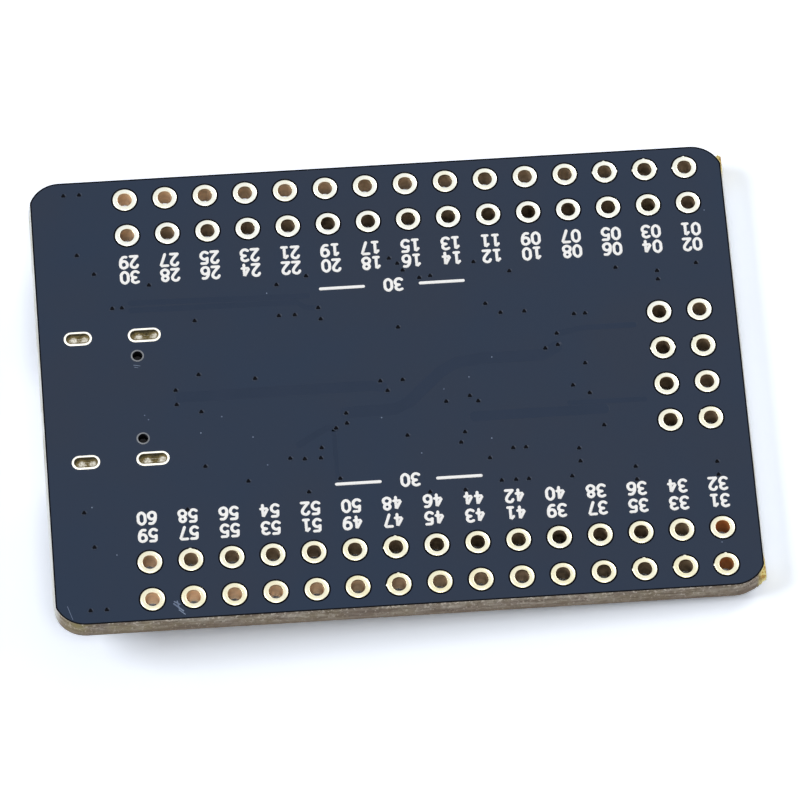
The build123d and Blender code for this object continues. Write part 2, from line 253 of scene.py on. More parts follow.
def ribbon(
    path: np.ndarray, width: float, height: float, loop: bool = False, tone: float = 0, flat: bool = False
) -> Surface:
    """A low rounded stroke carried along a path in X and Y, with round ends.

    At an angle q across the stroke the profile stands cos q of half the width to the side of the
    path, along its normal, and sin q of the height up; two lower points close it underneath. Past
    each end of an open path the width shrinks by cos e while the profile moves on by sin e of half
    the width, for e up to nearly a right angle.

    Args:
        path: The points of the middle line.
        width: The stroke's width.
        height: How far its middle stands up.
        loop: True if the path closes on itself.
        tone: The tone of all its points.
        flat: True for a level top with a narrow slope at each side, in place of the rounded one.

    Returns:
        A closed surface with its foot a little below z = 0.
    """
    ahead = np.roll(path, -1, axis=0) - path if loop else np.gradient(path, axis=0)
    along = ahead + np.roll(ahead, 1, axis=0) if loop else ahead
    along = along / np.linalg.norm(along, axis=1, keepdims=True)
    scale = np.ones(len(path))
    if not loop:
        turn = np.radians([84.0, 58.0, 29.0])
        past = (np.sin(turn) * width / 2)[:, None]
        path = np.concatenate([path[0] - past * along[0], path, path[-1] + past[::-1] * along[-1]])
        along = np.concatenate([along[[0] * len(turn)], along, along[[-1] * len(turn)]])
        scale = np.concatenate([np.cos(turn), scale, np.cos(turn[::-1])])
    across = np.stack([-along[:, 1], along[:, 0]], axis=1)
    q = np.linspace(0, math.pi, 5)
    reach, stand = np.cos(q), np.sin(q)
    if flat:
        reach, stand = np.array([1, 0.97, 0.9, -0.9, -0.97, -1]), np.array([0.3, 1, 1, 1, 1, 0.3])
    side = np.concatenate([[1.0], reach, [-1.0]]) * width / 2
    up = np.concatenate([[-SUNK], stand * height, [-SUNK]])
    level = path[:, None, :] + across[:, None, :] * (side * scale[:, None])[..., None]
    rise = np.broadcast_to(up, level.shape[:2])[..., None]
    return skin(np.concatenate([level, rise], axis=-1), loop, np.full(level.shape[:2], float(tone)))


# ---------------------------------------------------------------- finishes
class Graph:
    """The node tree of a material or world, with short ways to add nodes and join them."""

    def __init__(self, owner: Any, output: str = "ShaderNodeOutputMaterial") -> None:
        """Empties the tree and gives it an output.

        Args:
            owner: The new material or world.
            output: The type of its output node.
        """
        owner.use_nodes = True
        self.owner = owner
        self.tree = owner.node_tree
        self.tree.nodes.clear()
        self.output = self.add(output)

    def add(self, kind: str, inputs: dict[Any, Any] | None = None, **settings: Any) -> bpy.types.Node:
        """Adds a node.

        Args:
            kind: The node's type.
            inputs: What its inputs take, each by its number or name.
            settings: Its other properties.

        Returns:
            The node.
        """
        node = self.tree.nodes.new(kind)
        for key, value in settings.items():
            setattr(node, key, value)
        for key, value in (inputs or {}).items():
            self.feed(node.inputs[key], value)
        return node

    def feed(self, socket: bpy.types.NodeSocket, value: Any) -> None:
        """Joins a socket to another one, or sets it to a number or colour.

        Args:
            socket: The input.
            value: An output socket, a number or a colour.
        """
        if isinstance(value, bpy.types.NodeSocket):
            self.tree.links.new(value, socket)
        else:
            socket.default_value = value

    def own(self, kind: str) -> bpy.types.NodeSocket:
        """The object's own coordinates: Object for the place, or Normal."""
        return self.add("ShaderNodeTexCoord").outputs[kind]

    def parts(self, kind: str) -> Any:
        """The X, Y and Z of the object's own coordinates."""
        return self.add("ShaderNodeSeparateXYZ", {0: self.own(kind)}).outputs

    def noise(
        self, per_mm: float, detail: float = 3, roughness: float = 0.5, stretch: Triple = (1, 1, 1)
    ) -> bpy.types.NodeSocket:
        """Fractal noise on the object's coordinates.

        Args:
            per_mm: How many features it has in a millimetre.
            detail: How many finer layers it has.
            roughness: How strong the finer layers are.
            stretch: How much closer the features lie along each axis.

        Returns:
            The noise as a number.
        """
        place = self.add("ShaderNodeMapping", {"Vector": self.own("Object"), "Scale": stretch}).outputs[0]
        inputs = {"Vector": place, "Scale": per_mm / MM, "Detail": detail, "Roughness": roughness}
        return self.add("ShaderNodeTexNoise", inputs).outputs["Fac"]

    def attribute(self, name: str) -> bpy.types.NodeSocket:
        """A number stored at the mesh's points."""
        return self.add("ShaderNodeAttribute", attribute_name=name).outputs["Fac"]

    def math(self, operation: str, a: Any, b: Any = 0.0) -> bpy.types.NodeSocket:
        """The sum, product or other result of two numbers."""
        return self.add("ShaderNodeMath", {0: a, 1: b}, operation=operation).outputs[0]

    def span(
        self, value: Any, low: float, high: float, to_low: float = 0, to_high: float = 1
    ) -> bpy.types.NodeSocket:
        """Carries a number from one range to another, held inside it.

        Args:
            value: The number.
            low: Where the first range starts.
            high: Where it ends.
            to_low: What the start becomes.
            to_high: What the end becomes.

        Returns:
            The new number.
        """
        inputs = dict(enumerate((value, low, high, to_low, to_high)))
        return self.add("ShaderNodeMapRange", inputs, clamp=True).outputs["Result"]

    def mix(self, factor: Any, a: Any, b: Any) -> bpy.types.NodeSocket:
        """A colour between two colours."""
        return self.add("ShaderNodeMix", {0: factor, 6: a, 7: b}, data_type="RGBA").outputs[2]

    def blend(self, factor: Any, a: Any, b: Any) -> bpy.types.NodeSocket:
        """A number between two numbers."""
        return self.add("ShaderNodeMix", {0: factor, 2: a, 3: b}, data_type="FLOAT").outputs[0]

    def bump(self, height: Any, depth_mm: float) -> bpy.types.NodeSocket:
        """The normal bent by a height from 0 to 1, which stands up by so many millimetres at 1."""
        return self.add("ShaderNodeBump", {"Distance": depth_mm * MM, "Height": height}).outputs["Normal"]

    def surface(self, **inputs: Any) -> bpy.types.Material:
        """Ends the tree with a Principled shader.

        Args:
            inputs: The shader's inputs by name, with spaces written as underscores.

        Returns:
            The finished material.
        """
        named = {key.replace("_", " "): value for key, value in inputs.items()}
        return self.ended(self.add("ShaderNodeBsdfPrincipled", named))

    def ended(self, shader: bpy.types.Node) -> Any:
        """Joins a shader to the output, and returns the finished material or world."""
        self.feed(self.output.inputs["Surface"], shader.outputs[0])
        return self.owner


def rgb(*display: int) -> Colour:
    """A colour from its display values, made linear.

    A small value is divided by 12.92. Above that the curve is a power of 2.4.

    Args:
        display: Red, green and blue, from 0 to 255.

    Returns:
        The linear colour, with an alpha of 1.
    """
    shares = [value / 255 for value in display]
    linear = [s / 12.92 if s <= 0.04045 else ((s + 0.055) / 1.055) ** 2.4 for s in shares]
    return (*linear, 1.0)


@dataclass(frozen=True)
class MaskedLaminate:
    """The board: satin solder mask on its two faces, raw fibreglass on its routed and snapped edges.

    Its places are millimetres: the height of the board's middle, half the thickness of the bare
    core, half the board's length, how far the moss reaches from the left, the bands over the middle
    in which the burrs grow and the foot's rust fades, and where the flakes start and fade in.
    """

    name: str = "masked_laminate"
    mask: Colour = rgb(30, 45, 66)
    mask_shift: Colour = rgb(34, 45, 63)
    resin: Colour = rgb(117, 103, 94)
    fibre: Colour = rgb(190, 182, 170)
    moss: Colour = rgb(163, 155, 103)
    rust: Colour = rgb(121, 106, 92)
    grit: Colour = rgb(88, 80, 69)
    burr: Colour = rgb(236, 228, 216)
    web: Colour = rgb(238, 243, 246)
    web_shade: Colour = rgb(206, 207, 198)
    torn: Colour = rgb(246, 238, 168)
    torn_dark: Colour = rgb(196, 152, 80)
    middle: float = 3.95
    half_core: float = 0.65
    half_length: float = 22.06
    moss_reach: float = 8.0
    burr_band: Place = (0.45, 0.75)
    foot_band: Place = (-0.8, 0.1)
    flake_start: Place = (21.46, 13.2)
    flake_fade: Place = (0.3, 0.6)

    def make(self) -> bpy.types.Material:
        """Builds the material: mask where the surface is level and outside the core, edge elsewhere.

        Returns:
            The material.
        """
        g = Graph(bpy.data.materials.new(self.name))
        normal, at = g.parts("Normal"), g.parts("Object")
        off_middle = g.math("ABSOLUTE", g.math("SUBTRACT", at["Z"], self.middle * MM))
        on_face = g.math("GREATER_THAN", off_middle, self.half_core * MM)
        level = g.span(g.math("ABSOLUTE", normal["Z"]), 0.93, 0.97)
        flat = g.math("MULTIPLY", level, on_face)
        mask = g.mix(g.span(g.noise(0.12, 3), 0.35, 0.65), self.mask, self.mask_shift)
        layers = g.noise(0.5, 4, 0.65, (0.5, 0.5, 5.0))
        edge = self.ends(g, at, g.math("ABSOLUTE", normal["X"]), self.sides(g, at, layers))
        grain = g.noise(18, 2)
        weave = g.math("MULTIPLY", layers, g.span(flat, 0, 1, 3.0, 0.0))
        height = g.math("ADD", g.math("MULTIPLY", grain, g.span(flat, 0, 1, 1.0, 0.04)), weave)
        return g.surface(
            Base_Color=g.mix(flat, edge, mask),
            Roughness=g.blend(flat, 0.85, g.span(grain, 0.3, 0.7, 0.4, 0.48)),
            Specular_IOR_Level=0.26,
            Normal=g.bump(height, 0.02),
        )

    def sides(self, g: Graph, at: Any, layers: Any) -> Any:
        """The routed sides' colour.

        Layers of glass in resin carry rusty blotches, grit, moss near the lower left corner, pale
        burrs that are thickest at the top, and more rust at the foot.

        Args:
            g: The tree to build in.
            at: The place's X, Y and Z.
            layers: The layers' noise.

        Returns:
            The colour.
        """
        strands = g.noise(6.0, 2, 0.6, (1, 1, 0.6))
        side = g.mix(g.span(layers, 0.36, 0.64), self.resin, self.fibre)
        side = g.mix(g.span(g.noise(1.1, 4, 0.65), 0.48, 0.62, 0, 0.65), side, self.rust)
        side = g.mix(g.span(g.noise(2.6, 4, 0.7), 0.5, 0.62, 0, 0.45), side, self.grit)
        end = -self.half_length
        to_left = g.span(at["X"], end * MM, (end + self.moss_reach) * MM, 0.75, 0.15)
        side = g.mix(g.math("MULTIPLY", to_left, g.span(g.noise(0.45, 3), 0.4, 0.6)), side, self.moss)
        low, high = (self.middle + step for step in self.burr_band)
        to_top = g.span(at["Z"], low * MM, high * MM, 0, 0.75)
        side = g.mix(g.math("MULTIPLY", to_top, g.span(strands, 0.55, 0.63)), side, self.burr)
        side = g.mix(g.span(strands, 0.58, 0.68, 0, 0.45), side, self.burr)
        low, high = (self.middle + step for step in self.foot_band)
        return g.mix(g.span(at["Z"], low * MM, high * MM, 0.75, 0), side, self.rust)

    def ends(self, g: Graph, at: Any, facing: Any, side: Any) -> Any:
        """The edge's colour, with the pale snapped ends and the yellow flakes of the right-hand corners.

        Args:
            g: The tree to build in.
            at: The place's X, Y and Z.
            facing: How far the surface faces along X.
            side: The routed sides' colour.

        Returns:
            The colour.
        """
        bundles = g.span(g.noise(1.4, 4, 0.65, (1, 0.35, 3.0)), 0.42, 0.62)
        edge = g.mix(g.span(facing, 0.8, 0.95), side, g.mix(bundles, self.web, self.web_shade))
        torn = g.mix(g.span(g.noise(3.2, 4, 0.7), 0.48, 0.6), self.torn, self.torn_dark)
        places = at["X"], g.math("ABSOLUTE", at["Y"])
        past, arc = (
            g.span(place, start * MM, (start + fade) * MM)
            for place, start, fade in zip(places, self.flake_start, self.flake_fade)
        )
        return g.mix(g.math("MULTIPLY", past, arc), edge, torn)


@dataclass(frozen=True)
class MaskedCopper:
    """Solder mask over raised copper, a shade off the board's own."""

    name: str
    mask: Colour
    cloud: Colour

    def make(self) -> bpy.types.Material:
        """Builds the material.

        Returns:
            The material.
        """
        g = Graph(bpy.data.materials.new(self.name))
        colour = g.mix(g.span(g.noise(0.5, 3), 0.35, 0.65), self.mask, self.cloud)
        satin = g.span(g.noise(18, 2), 0.3, 0.7, 0.38, 0.46)
        return g.surface(Base_Color=colour, Roughness=satin, Specular_IOR_Level=0.26)


@dataclass(frozen=True)
class Plating:
    """Bright plating, its tint drifting from land to land, and dull brown inside a hole.

    A tone up to a half carries the lands from the pale tint to the deep one. Above it the tone
    carries a hole's lining from a lit brown to a shaded one, which is painted shade in the hole,
    with a drift that differs at random. The lit brown is painted warmer in the last holes of the
    lower rows, past the place warm_from in millimetres, as warm light in them.
    """

    name: str
    pale: Colour
    deep: Colour
    roughness: float = 0.3
    lining: Colour = rgb(254, 224, 186)
    lining_shaded: Colour = rgb(52, 39, 18)
    lining_warm_lit: Colour = rgb(232, 158, 92)
    warm_from: Place = (17.5, -9.0)

    def make(self) -> bpy.types.Material:
        """Builds the material.

        Returns:
            The material.
        """
        g = Graph(bpy.data.materials.new(self.name))
        at, tone, grain = g.parts("Object"), g.attribute("tone"), g.noise(14, 3)
        drift = g.span(g.noise(1.5, 2), 0.3, 0.7, -0.15, 0.15)
        land = g.mix(g.math("ADD", g.span(tone, 0, 0.5), drift), self.pale, self.deep)
        # Painted light and shade in the holes: the lining goes from the lit brown to the shaded one with
        # its tone, and the lit brown is painted warm in the lower right holes.
        x, y = self.warm_from
        along = g.span(at["X"], x * MM, (x + 1.3) * MM)
        across = g.span(at["Y"], (y - 1) * MM, y * MM, 1, 0)
        lit_lining = g.mix(g.math("MULTIPLY", along, across), self.lining, self.lining_warm_lit)
        stain_and_shade = g.math("ADD", g.span(tone, LINING_TONE, 1), drift)
        lining = g.mix(stain_and_shade, lit_lining, self.lining_shaded)
        inside = g.span(tone, LINING_TONE - 0.06, LINING_TONE - 0.02)
        rough = g.span(grain, 0.3, 0.7, self.roughness - 0.06, self.roughness + 0.08)
        return g.surface(
            Base_Color=g.mix(inside, land, lining),
            Metallic=g.span(inside, 0, 1, 1.0, 0.35),
            Roughness=g.math("ADD", rough, g.math("MULTIPLY", inside, 0.1)),
            Specular_IOR_Level=0.15,
            Normal=g.bump(grain, 0.004),
        )


@dataclass(frozen=True)
class SolderFill:
    """Solder with flux on it: bright at a tone of 0, amber at a half, and dark at 1, where painted shade
    goes too.
    """

    name: str = "solder_fill"
    bright: Colour = rgb(255, 252, 240)
    amber: Colour = rgb(112, 98, 58)
    flux_and_shade: Colour = rgb(40, 35, 16)

    def make(self) -> bpy.types.Material:
        """Builds the material.

        Returns:
            The material.
        """
        g = Graph(bpy.data.materials.new(self.name))
        grain = g.noise(9, 4, 0.6)
        # The tone carries the flux, and in the slots painted shade and painted highlights as well.
        tone = g.attribute("tone")
        stain_and_shade = g.math("ADD", tone, g.span(grain, 0.3, 0.7, -0.2, 0.2))
        stain_and_shade = g.math("MULTIPLY", stain_and_shade, g.span(tone, 0.0, 0.05))
        colour = g.mix(g.span(stain_and_shade, 0, 0.5), self.bright, self.amber)
        return g.surface(
            Base_Color=g.mix(g.span(stain_and_shade, 0.5, 1), colour, self.flux_and_shade),
            Metallic=g.span(tone, 0.0, 0.1, 0.9, 0.3),
            Roughness=g.span(grain, 0.3, 0.7, 0.38, 0.55),
            Specular_IOR_Level=0.2,
            Normal=g.bump(grain, 0.02),
        )


@dataclass(frozen=True)
class PrintedInk:
    """White epoxy ink, slightly uneven."""

    name: str = "printed_ink"
    ink: Colour = rgb(255, 255, 254)
    thin: Colour = rgb(226, 231, 240)

    def make(self) -> bpy.types.Material:
        """Builds the material.

        Returns:
            The material.
        """
        g = Graph(bpy.data.materials.new(self.name))
        cover = g.noise(5, 3)
        return g.surface(
            Base_Color=g.mix(g.span(cover, 0.6, 0.75, 0, 0.6), self.ink, self.thin),
            Roughness=0.55,
            Specular_IOR_Level=0.3,
            Normal=g.bump(g.noise(20, 2), 0.004),
        )


@dataclass(frozen=True)
class Moulding:
    """Moulded plastic or epoxy: a fine spark-eroded grain and a faint cloud in its colour."""

    name: str
    colour: Colour
    cloud: Colour
    roughness: float = 0.5
    grain_per_mm: float = 16
    grain_mm: float = 0.006
    shine: float = 0.4

    def make(self) -> bpy.types.Material:
        """Builds the material.

        Returns:
            The material.
        """
        g = Graph(bpy.data.materials.new(self.name))
        grain = g.noise(self.grain_per_mm, 3, 0.6)
        drift = g.span(g.noise(0.8, 3), 0.35, 0.65)
        return g.surface(
            Base_Color=g.mix(drift, self.colour, self.cloud),
            Roughness=g.span(grain, 0.3, 0.7, self.roughness - 0.07, self.roughness + 0.1),
            Specular_IOR_Level=self.shine,
            Normal=g.bump(grain, self.grain_mm),
        )


@dataclass(frozen=True)
class SheetMetal:
    """Rolled, plated sheet: drawn out grain, small scuffs and a slightly darker bloom."""

    name: str
    colour: Colour
    bloom: Colour
    roughness: float = 0.28
    rolled: Triple = (0.15, 2.5, 2.5)

    def make(self) -> bpy.types.Material:
        """Builds the material.

        Returns:
            The material.
        """
        g = Graph(bpy.data.materials.new(self.name))
        grain = g.noise(7, 3, 0.6, self.rolled)
        rough = g.span(grain, 0.3, 0.7, self.roughness - 0.06, self.roughness + 0.1)
        scuffs = g.span(g.noise(2.2, 4, 0.7), 0.56, 0.7, 0, 0.12)
        return g.surface(
            Base_Color=g.mix(g.span(g.noise(0.6, 3), 0.35, 0.7), self.colour, self.bloom),
            Metallic=1.0,
            Roughness=g.math("ADD", rough, scuffs),
            Normal=g.bump(grain, 0.004),
        )


@dataclass(frozen=True)
class ClearLens:
    """Clear epoxy with a tint over a light's chip."""

    name: str = "clear_lens"
    tint: Colour = rgb(246, 240, 205)
    haze: Colour = rgb(238, 224, 150)

    def make(self) -> bpy.types.Material:
        """Builds the material.

        Returns:
            The material.
        """
        g = Graph(bpy.data.materials.new(self.name))
        milk = g.noise(3, 3)
        return g.surface(
            Base_Color=g.mix(g.span(milk, 0.35, 0.65), self.tint, self.haze),
            Roughness=g.span(milk, 0.3, 0.7, 0.12, 0.2),
            Transmission_Weight=0.55,
            IOR=1.5,
        )


@dataclass(frozen=True)
class StudioFloor:
    """A pale floor that shows white to the camera and keeps the object's shadow."""

    name: str = "studio_floor"
    paper: Colour = (0.94, 0.94, 0.94, 1.0)
    tooth: Colour = (0.95, 0.95, 0.95, 1.0)
    mirrored: Colour = (1.0, 1.0, 1.0, 1.0)
    seen: Colour = (1.36, 1.44, 1.57, 1.0)

    def make(self) -> bpy.types.Material:
        """Builds the material.

        The camera sees a paler floor than the one that lights the object, so that full light on it
        is white and only the deeper shadow shows. Metal and glass see it as plain white paper.

        Returns:
            The material.
        """
        g = Graph(bpy.data.materials.new(self.name))
        rays = g.add("ShaderNodeLightPath").outputs
        polished = g.math("MAXIMUM", rays["Is Glossy Ray"], rays["Is Transmission Ray"])
        paper = g.mix(g.span(g.noise(0.4, 4), 0.3, 0.7), self.paper, self.tooth)
        paper = g.mix(polished, paper, self.mirrored)
        colour = g.mix(rays["Is Camera Ray"], paper, self.seen)
        return g.ended(g.add("ShaderNodeBsdfDiffuse", {"Color": colour}))


class Finish(Enum):
    """Every finish on the board and in the studio."""

    LAMINATE = MaskedLaminate()
    COVERED_VIA = MaskedCopper("masked_via", rgb(31, 45, 65), rgb(34, 46, 64))
    COVERED_TRACE = MaskedCopper("masked_trace", rgb(26, 41, 62), rgb(29, 43, 64))
    GOLD = Plating("gold_land", rgb(238, 239, 229), rgb(236, 228, 188))
    CONTACT = Plating("gold_contact", rgb(246, 222, 158), rgb(235, 200, 120), 0.22)
    SOLDER = SolderFill()
    INK = PrintedInk()
    BLACK = Moulding("black_moulding", rgb(38, 38, 40), rgb(46, 46, 48))
    EPOXY = Moulding("package_epoxy", rgb(44, 44, 47), rgb(54, 54, 56), 0.58, 9, 0.012)
    SWITCH = Moulding("switch_moulding", rgb(34, 34, 36), rgb(42, 42, 44), 0.45)
    BUTTON = Moulding("button_moulding", rgb(222, 220, 212), rgb(212, 209, 200), 0.42)
    CERAMIC = Moulding("crystal_ceramic", rgb(206, 200, 182), rgb(192, 185, 166), 0.6)
    CAPACITOR = Moulding("capacitor_ceramic", rgb(168, 134, 92), rgb(150, 116, 78), 0.4)
    GLAZE = Moulding("resistor_glaze", rgb(24, 24, 28), rgb(32, 32, 36), 0.25, 6, 0.004)
    LAMP_BASE = Moulding("light_base", rgb(232, 228, 212), rgb(222, 216, 196), 0.5)
    LENS = ClearLens()
    SHELL = SheetMetal("shell_steel", rgb(208, 207, 204), rgb(188, 187, 184))
    LID = SheetMetal("crystal_lid", rgb(212, 211, 208), rgb(196, 194, 190), 0.34)
    TIN = SheetMetal("tinned_lead", rgb(206, 206, 208), rgb(176, 176, 180), 0.36, (1, 1, 1))
    BARE = Moulding("bare_laminate", rgb(146, 150, 156), rgb(122, 126, 132), 0.7)
    # Painted shade: a near-black with almost no shine, put in the gaps round the lands, on the vias' pits,
    # in the peg holes and along the mask's outline.
    GAP = Moulding("shade_black", rgb(14, 15, 20), rgb(20, 20, 24), 0.85, 16, 0.004, 0.03)
    SCUFF = Moulding("scuffed_mask", rgb(140, 156, 180), rgb(96, 110, 136), 0.7)
    FLOOR = StudioFloor()

    def material(self) -> bpy.types.Material:
        """The finish's material, made the first time that it is asked for."""
        made = bpy.data.materials.get(self.value.name)
        return made or self.value.make()


def added(name: str, data: Any) -> bpy.types.Object:
    """Makes an object and puts it into the scene.

    Args:
        name: The object's name.
        data: Its mesh, lamp or camera.

    Returns:
        The object.
    """
    item = bpy.data.objects.new(name, data)
    bpy.context.scene.collection.objects.link(item)
    return item


def add_piece(
    name: str, surface: Surface, finish: Finish, body: str = BOARD
) -> bpy.types.Object:
    """Makes a mesh object of a surface, in metres, and lets it ride on a body.

    Args:
        name: The piece's name.
        surface: Its shape, in millimetres.
        finish: What it is made of.
        body: The body that it rides on.

    Returns:
        The new object.
    """
    mesh = bpy.data.meshes.new(name)
    faces = surface.quads.tolist() + [cap.tolist() for cap in surface.caps]
    mesh.from_pydata(surface.points * MM, [], faces)
    tone = mesh.attributes.new("tone", "FLOAT", "POINT")
    tone.data.foreach_set("value", surface.tone.astype(np.float32))
    mesh.materials.append(finish.material())
    mesh.shade_smooth()
    mesh.validate()
    piece = added(name, mesh)
    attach(piece, body)
    LOG.info("%s: %d faces", name, len(mesh.polygons))
    return piece


# ---------------------------------------------------------------- the board
@dataclass
class BoardFrame:
    """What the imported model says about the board's place and size, in millimetres."""

    pins: dict[str, Place]
    low: np.ndarray
    high: np.ndarray

    @classmethod
    def read(cls, record: dict[str, Any]) -> "BoardFrame":
        """Takes the pin holes from the record and the faces from the board's node.

        Args:
            record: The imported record.

        Returns:
            The board's frame.
        """
        low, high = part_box("bare_board")
        pins = {
            mount["name"]: (mount["pos_m"][0] / MM, mount["pos_m"][1] / MM)
            for mount in record["mounts"]
            if mount["kind"] == "bore"
        }
        return cls(pins, np.array(low) / MM, np.array(high) / MM)

    @property
    def back(self) -> float:
        """Height of the solder side."""
        return float(self.high[2])

    @property
    def front(self) -> float:
        """Height of the component side."""
        return float(self.low[2])


@dataclass
class PlatedHoles:
    """The gold eyelets of the pin holes: a land on each face, joined by the hole's lining."""

    frame: BoardFrame
    land_radius: float = 0.75
    lining_radius: float = 0.45
    land_rise: float = 0.016
    edge_round: float = 0.008
    knee: float = 0.04
    brow: float = 0.1
    painted_light_slant: float = 0.3
    segments: int = 40
    gap: float = 0.11
    spoke_width: float = 0.3
    spoke_reach: float = 0.055
    spoke_tone: float = 0.1
    land_shade_tone: float = 0.16
    outer_tone: float = 0.07
    outer_share: float = 0.85
    land_chance: float = 0.04
    stain_chance: float = 0.05
    fade: float = 5.0
    seed: int = 7

    ON_BROW, LINED = 0.75, 1.0
    # Painted shade in the holes' linings, row by row: the four numbers of the lining's darkness along the
    # row.
    LINING_SHADES = {
        "upper_outer": (0.04, 0.22, 0.45, 0.1),
        "upper_inner": (0.3, 0.38, 0.18, 0.15),
        "lower_inner": (0.25, 0.44, 0.18, 0.6),
        "lower_outer": (-0.02, 0.05, 0.94, 0.65),
        "end_block": (0.78, 0.0, -0.1, 0.0),
    }
    # Painted shade added at the brow, under each hole's upper knee, row by row.
    BROW_SHADES = {
        "upper_outer": 0.35,
        "upper_inner": 0.35,
        "lower_inner": 0.2,
        "lower_outer": 0.45,
        "end_block": 0.1,
    }
    SPOKES = {
        "upper_outer_pin_13": (0, 90, 180), "upper_outer_pin_14": (0, 90, 180),
        "upper_outer_pin_15": (90, 180), "lower_outer_pin_07": (90, 180),
        "lower_outer_pin_13": (90, 180), "lower_outer_pin_14": (90, 180),
        "lower_outer_pin_15": (90, 180), "lower_inner_pin_02": (90,), "lower_inner_pin_07": (90, 180),
        "end_block_pin_2": (0, 180), "end_block_pin_6": (135,), "end_block_pin_8": (135,),
    }

    def eyelet(self) -> Surface:
        """One eyelet: an outline like a rivet's, with a quarter circle at each knee, turned about Z.

        Its tone marks the hole's lining and the brow, which is the upper knee of the half towards
        +Y and the start of the lining below it. It is 0 elsewhere.

        Returns:
            A closed ring centred on the Z axis.
        """
        top, bottom, e = self.frame.back, self.frame.front, self.edge_round
        outer, inner, rise = self.land_radius, self.lining_radius, self.land_rise
        bend = np.radians([0, 22, 45, 68, 90])
        knee_r = inner + self.knee * (1 - np.sin(bend))
        knee_z = top + rise - self.knee * (1 - np.cos(bend))
        upper = [(outer, top - SUNK), (outer, top + rise - e), (outer - e, top + rise)]
        upper += list(zip(knee_r, knee_z))
        lower = [(r, bottom + top - z) for r, z in reversed(upper)]
        hidden = [(inner + self.knee, bottom + SUNK), (inner + self.knee, top - SUNK)]
        tube = [(inner, top - self.brow), (inner, (top + bottom) / 2)]
        ring = lathe(upper + tube + lower + hidden, self.segments)
        radius, z = np.hypot(ring.points[:, 0], ring.points[:, 1]), ring.points[:, 2]
        far = np.clip(ring.points[:, 1] / radius, 0, 1)
        lined = (radius < inner + 0.005) & (z > bottom) & (z < top)
        brow = (radius < inner + 0.005 + 0.03 * far) & (z > top - 0.5 * self.brow) & (far > 0.05)
        ring.tone = np.select([brow, lined], [self.ON_BROW, self.LINED], 0.0)
        return ring

    def build(self) -> None:
        """Makes one piece for the long rows and one for the end block, then their spokes and gaps."""
        rng = np.random.default_rng(self.seed)
        groups: dict[str, list[Surface]] = {"header_eyelets": [], "end_block_eyelets": []}
        ring = self.eyelet()
        for name, (x, y) in self.frame.pins.items():
            eyelet = ring.moved(x, y)
            eyelet.tone = self.tones(name, ring, rng)
            group = "end_block_eyelets" if name.startswith("end_block") else "header_eyelets"
            groups[group].append(eyelet)
        for name, eyelets in groups.items():
            add_piece(name, joined(eyelets), Finish.GOLD)
        add_piece("land_spokes", joined(self.spokes()), Finish.GOLD)
        add_piece("mask_gaps", joined(self.gaps()), Finish.GAP)

    def tones(self, name: str, ring: Surface, rng: np.random.Generator) -> np.ndarray:
        """The tones of one eyelet.

        Its land is painted deeper towards -Y, as shade in its reflection, and is deeper in the outer
        rows. Its lining carries painted shade by its place in its row, painted light towards +X by a
        share that dies away along the board, and more painted shade at its brow.

        Args:
            name: The hole's name.
            ring: The eyelet, with its lining and brow marked.
            rng: Gives each hole its small chance difference.

        Returns:
            The tone at each of its points.
        """
        x, y = self.frame.pins[name]
        half_width = self.frame.high[1]
        frame_left = min(x for x, _ in self.frame.pins.values())
        outer_row = abs(y) > self.outer_share * half_width
        # Painted shade: the land's tint deepens towards -Y, where its reflection is dimmer, and is deeper
        # in the outer rows too.
        land = self.land_shade_tone * (1 - y / half_width) + (self.outer_tone if outer_row else 0.0)
        land = np.clip(land + rng.uniform(-self.land_chance, self.land_chance), 0, 0.5)
        stain_and_shade = np.clip(self.stain_and_shade(name) + rng.uniform(-self.stain_chance, self.stain_chance), 0, 1)
        side = np.clip(ring.points[:, 0] / self.lining_radius, -1, 1)
        # Painted light: the lining is lighter towards +X, most near the board's left end.
        shaded = stain_and_shade - self.painted_light_slant * math.exp((frame_left - x) / self.fade) * side
        # Painted shade: the brow is darker still.
        brow = np.clip(shaded + self.BROW_SHADES[self.row(name)], 0, 1)
        lining = [LINING_TONE + (1 - LINING_TONE) * part for part in (brow, np.clip(shaded, 0, 1))]
        return np.select([ring.tone == self.ON_BROW, ring.tone == self.LINED], lining, land)

    def row(self, name: str) -> str:
        """The row or block that a hole's name starts with."""
        return next(row for row in self.LINING_SHADES if name.startswith(row))

    def stain_and_shade(self, name: str) -> float:
        """How dark a hole's lining is painted, as shade that follows the hole's place in its row.

        At the share u of its row's length it is a + b (1 - exp(-u / 0.05)) + cu - d exp((u - 1) / 0.06),
        with the row's four numbers.

        Args:
            name: The hole's name.

        Returns:
            About 0 for the palest lining and about 1 for the darkest.
        """
        row = self.row(name)
        first, step, slope, end = self.LINING_SHADES[row]
        along = [x for pin, (x, _) in self.frame.pins.items() if pin.startswith(row)]
        u = (self.frame.pins[name][0] - min(along)) / (max(along) - min(along))
        return first + step * (1 - math.exp(-u / 0.05)) + slope * u - end * math.exp((u - 1) / 0.06)

    def gaps(self) -> list[Surface]:
        """The thin rings between each land and the mask, painted near-black as the shade in the opening.

        Returns:
            One flat ring for each hole.
        """
        inner, outer = self.land_radius - 0.01, self.land_radius + self.gap
        ring = flat_ring(inner, outer, 0.003, self.segments)
        return [ring.moved(x, y, self.frame.back) for x, y in self.frame.pins.values()]

    def spokes(self) -> list[Surface]:
        """The stubs where a land on the ground or supply pour runs out under the mask.

        Returns:
            One short stroke for each stub.
        """
        first, last = self.land_radius - 0.1, self.land_radius + self.spoke_reach - self.spoke_width / 2
        path = np.array([[r, 0.0] for r in np.linspace(first, last, 3)])
        stub = ribbon(path, self.spoke_width, self.land_rise * 0.8, tone=self.spoke_tone)
        return [
            stub.turned(angle).moved(*self.frame.pins[pin], self.frame.back)
            for pin, angles in self.SPOKES.items()
            for angle in angles
        ]


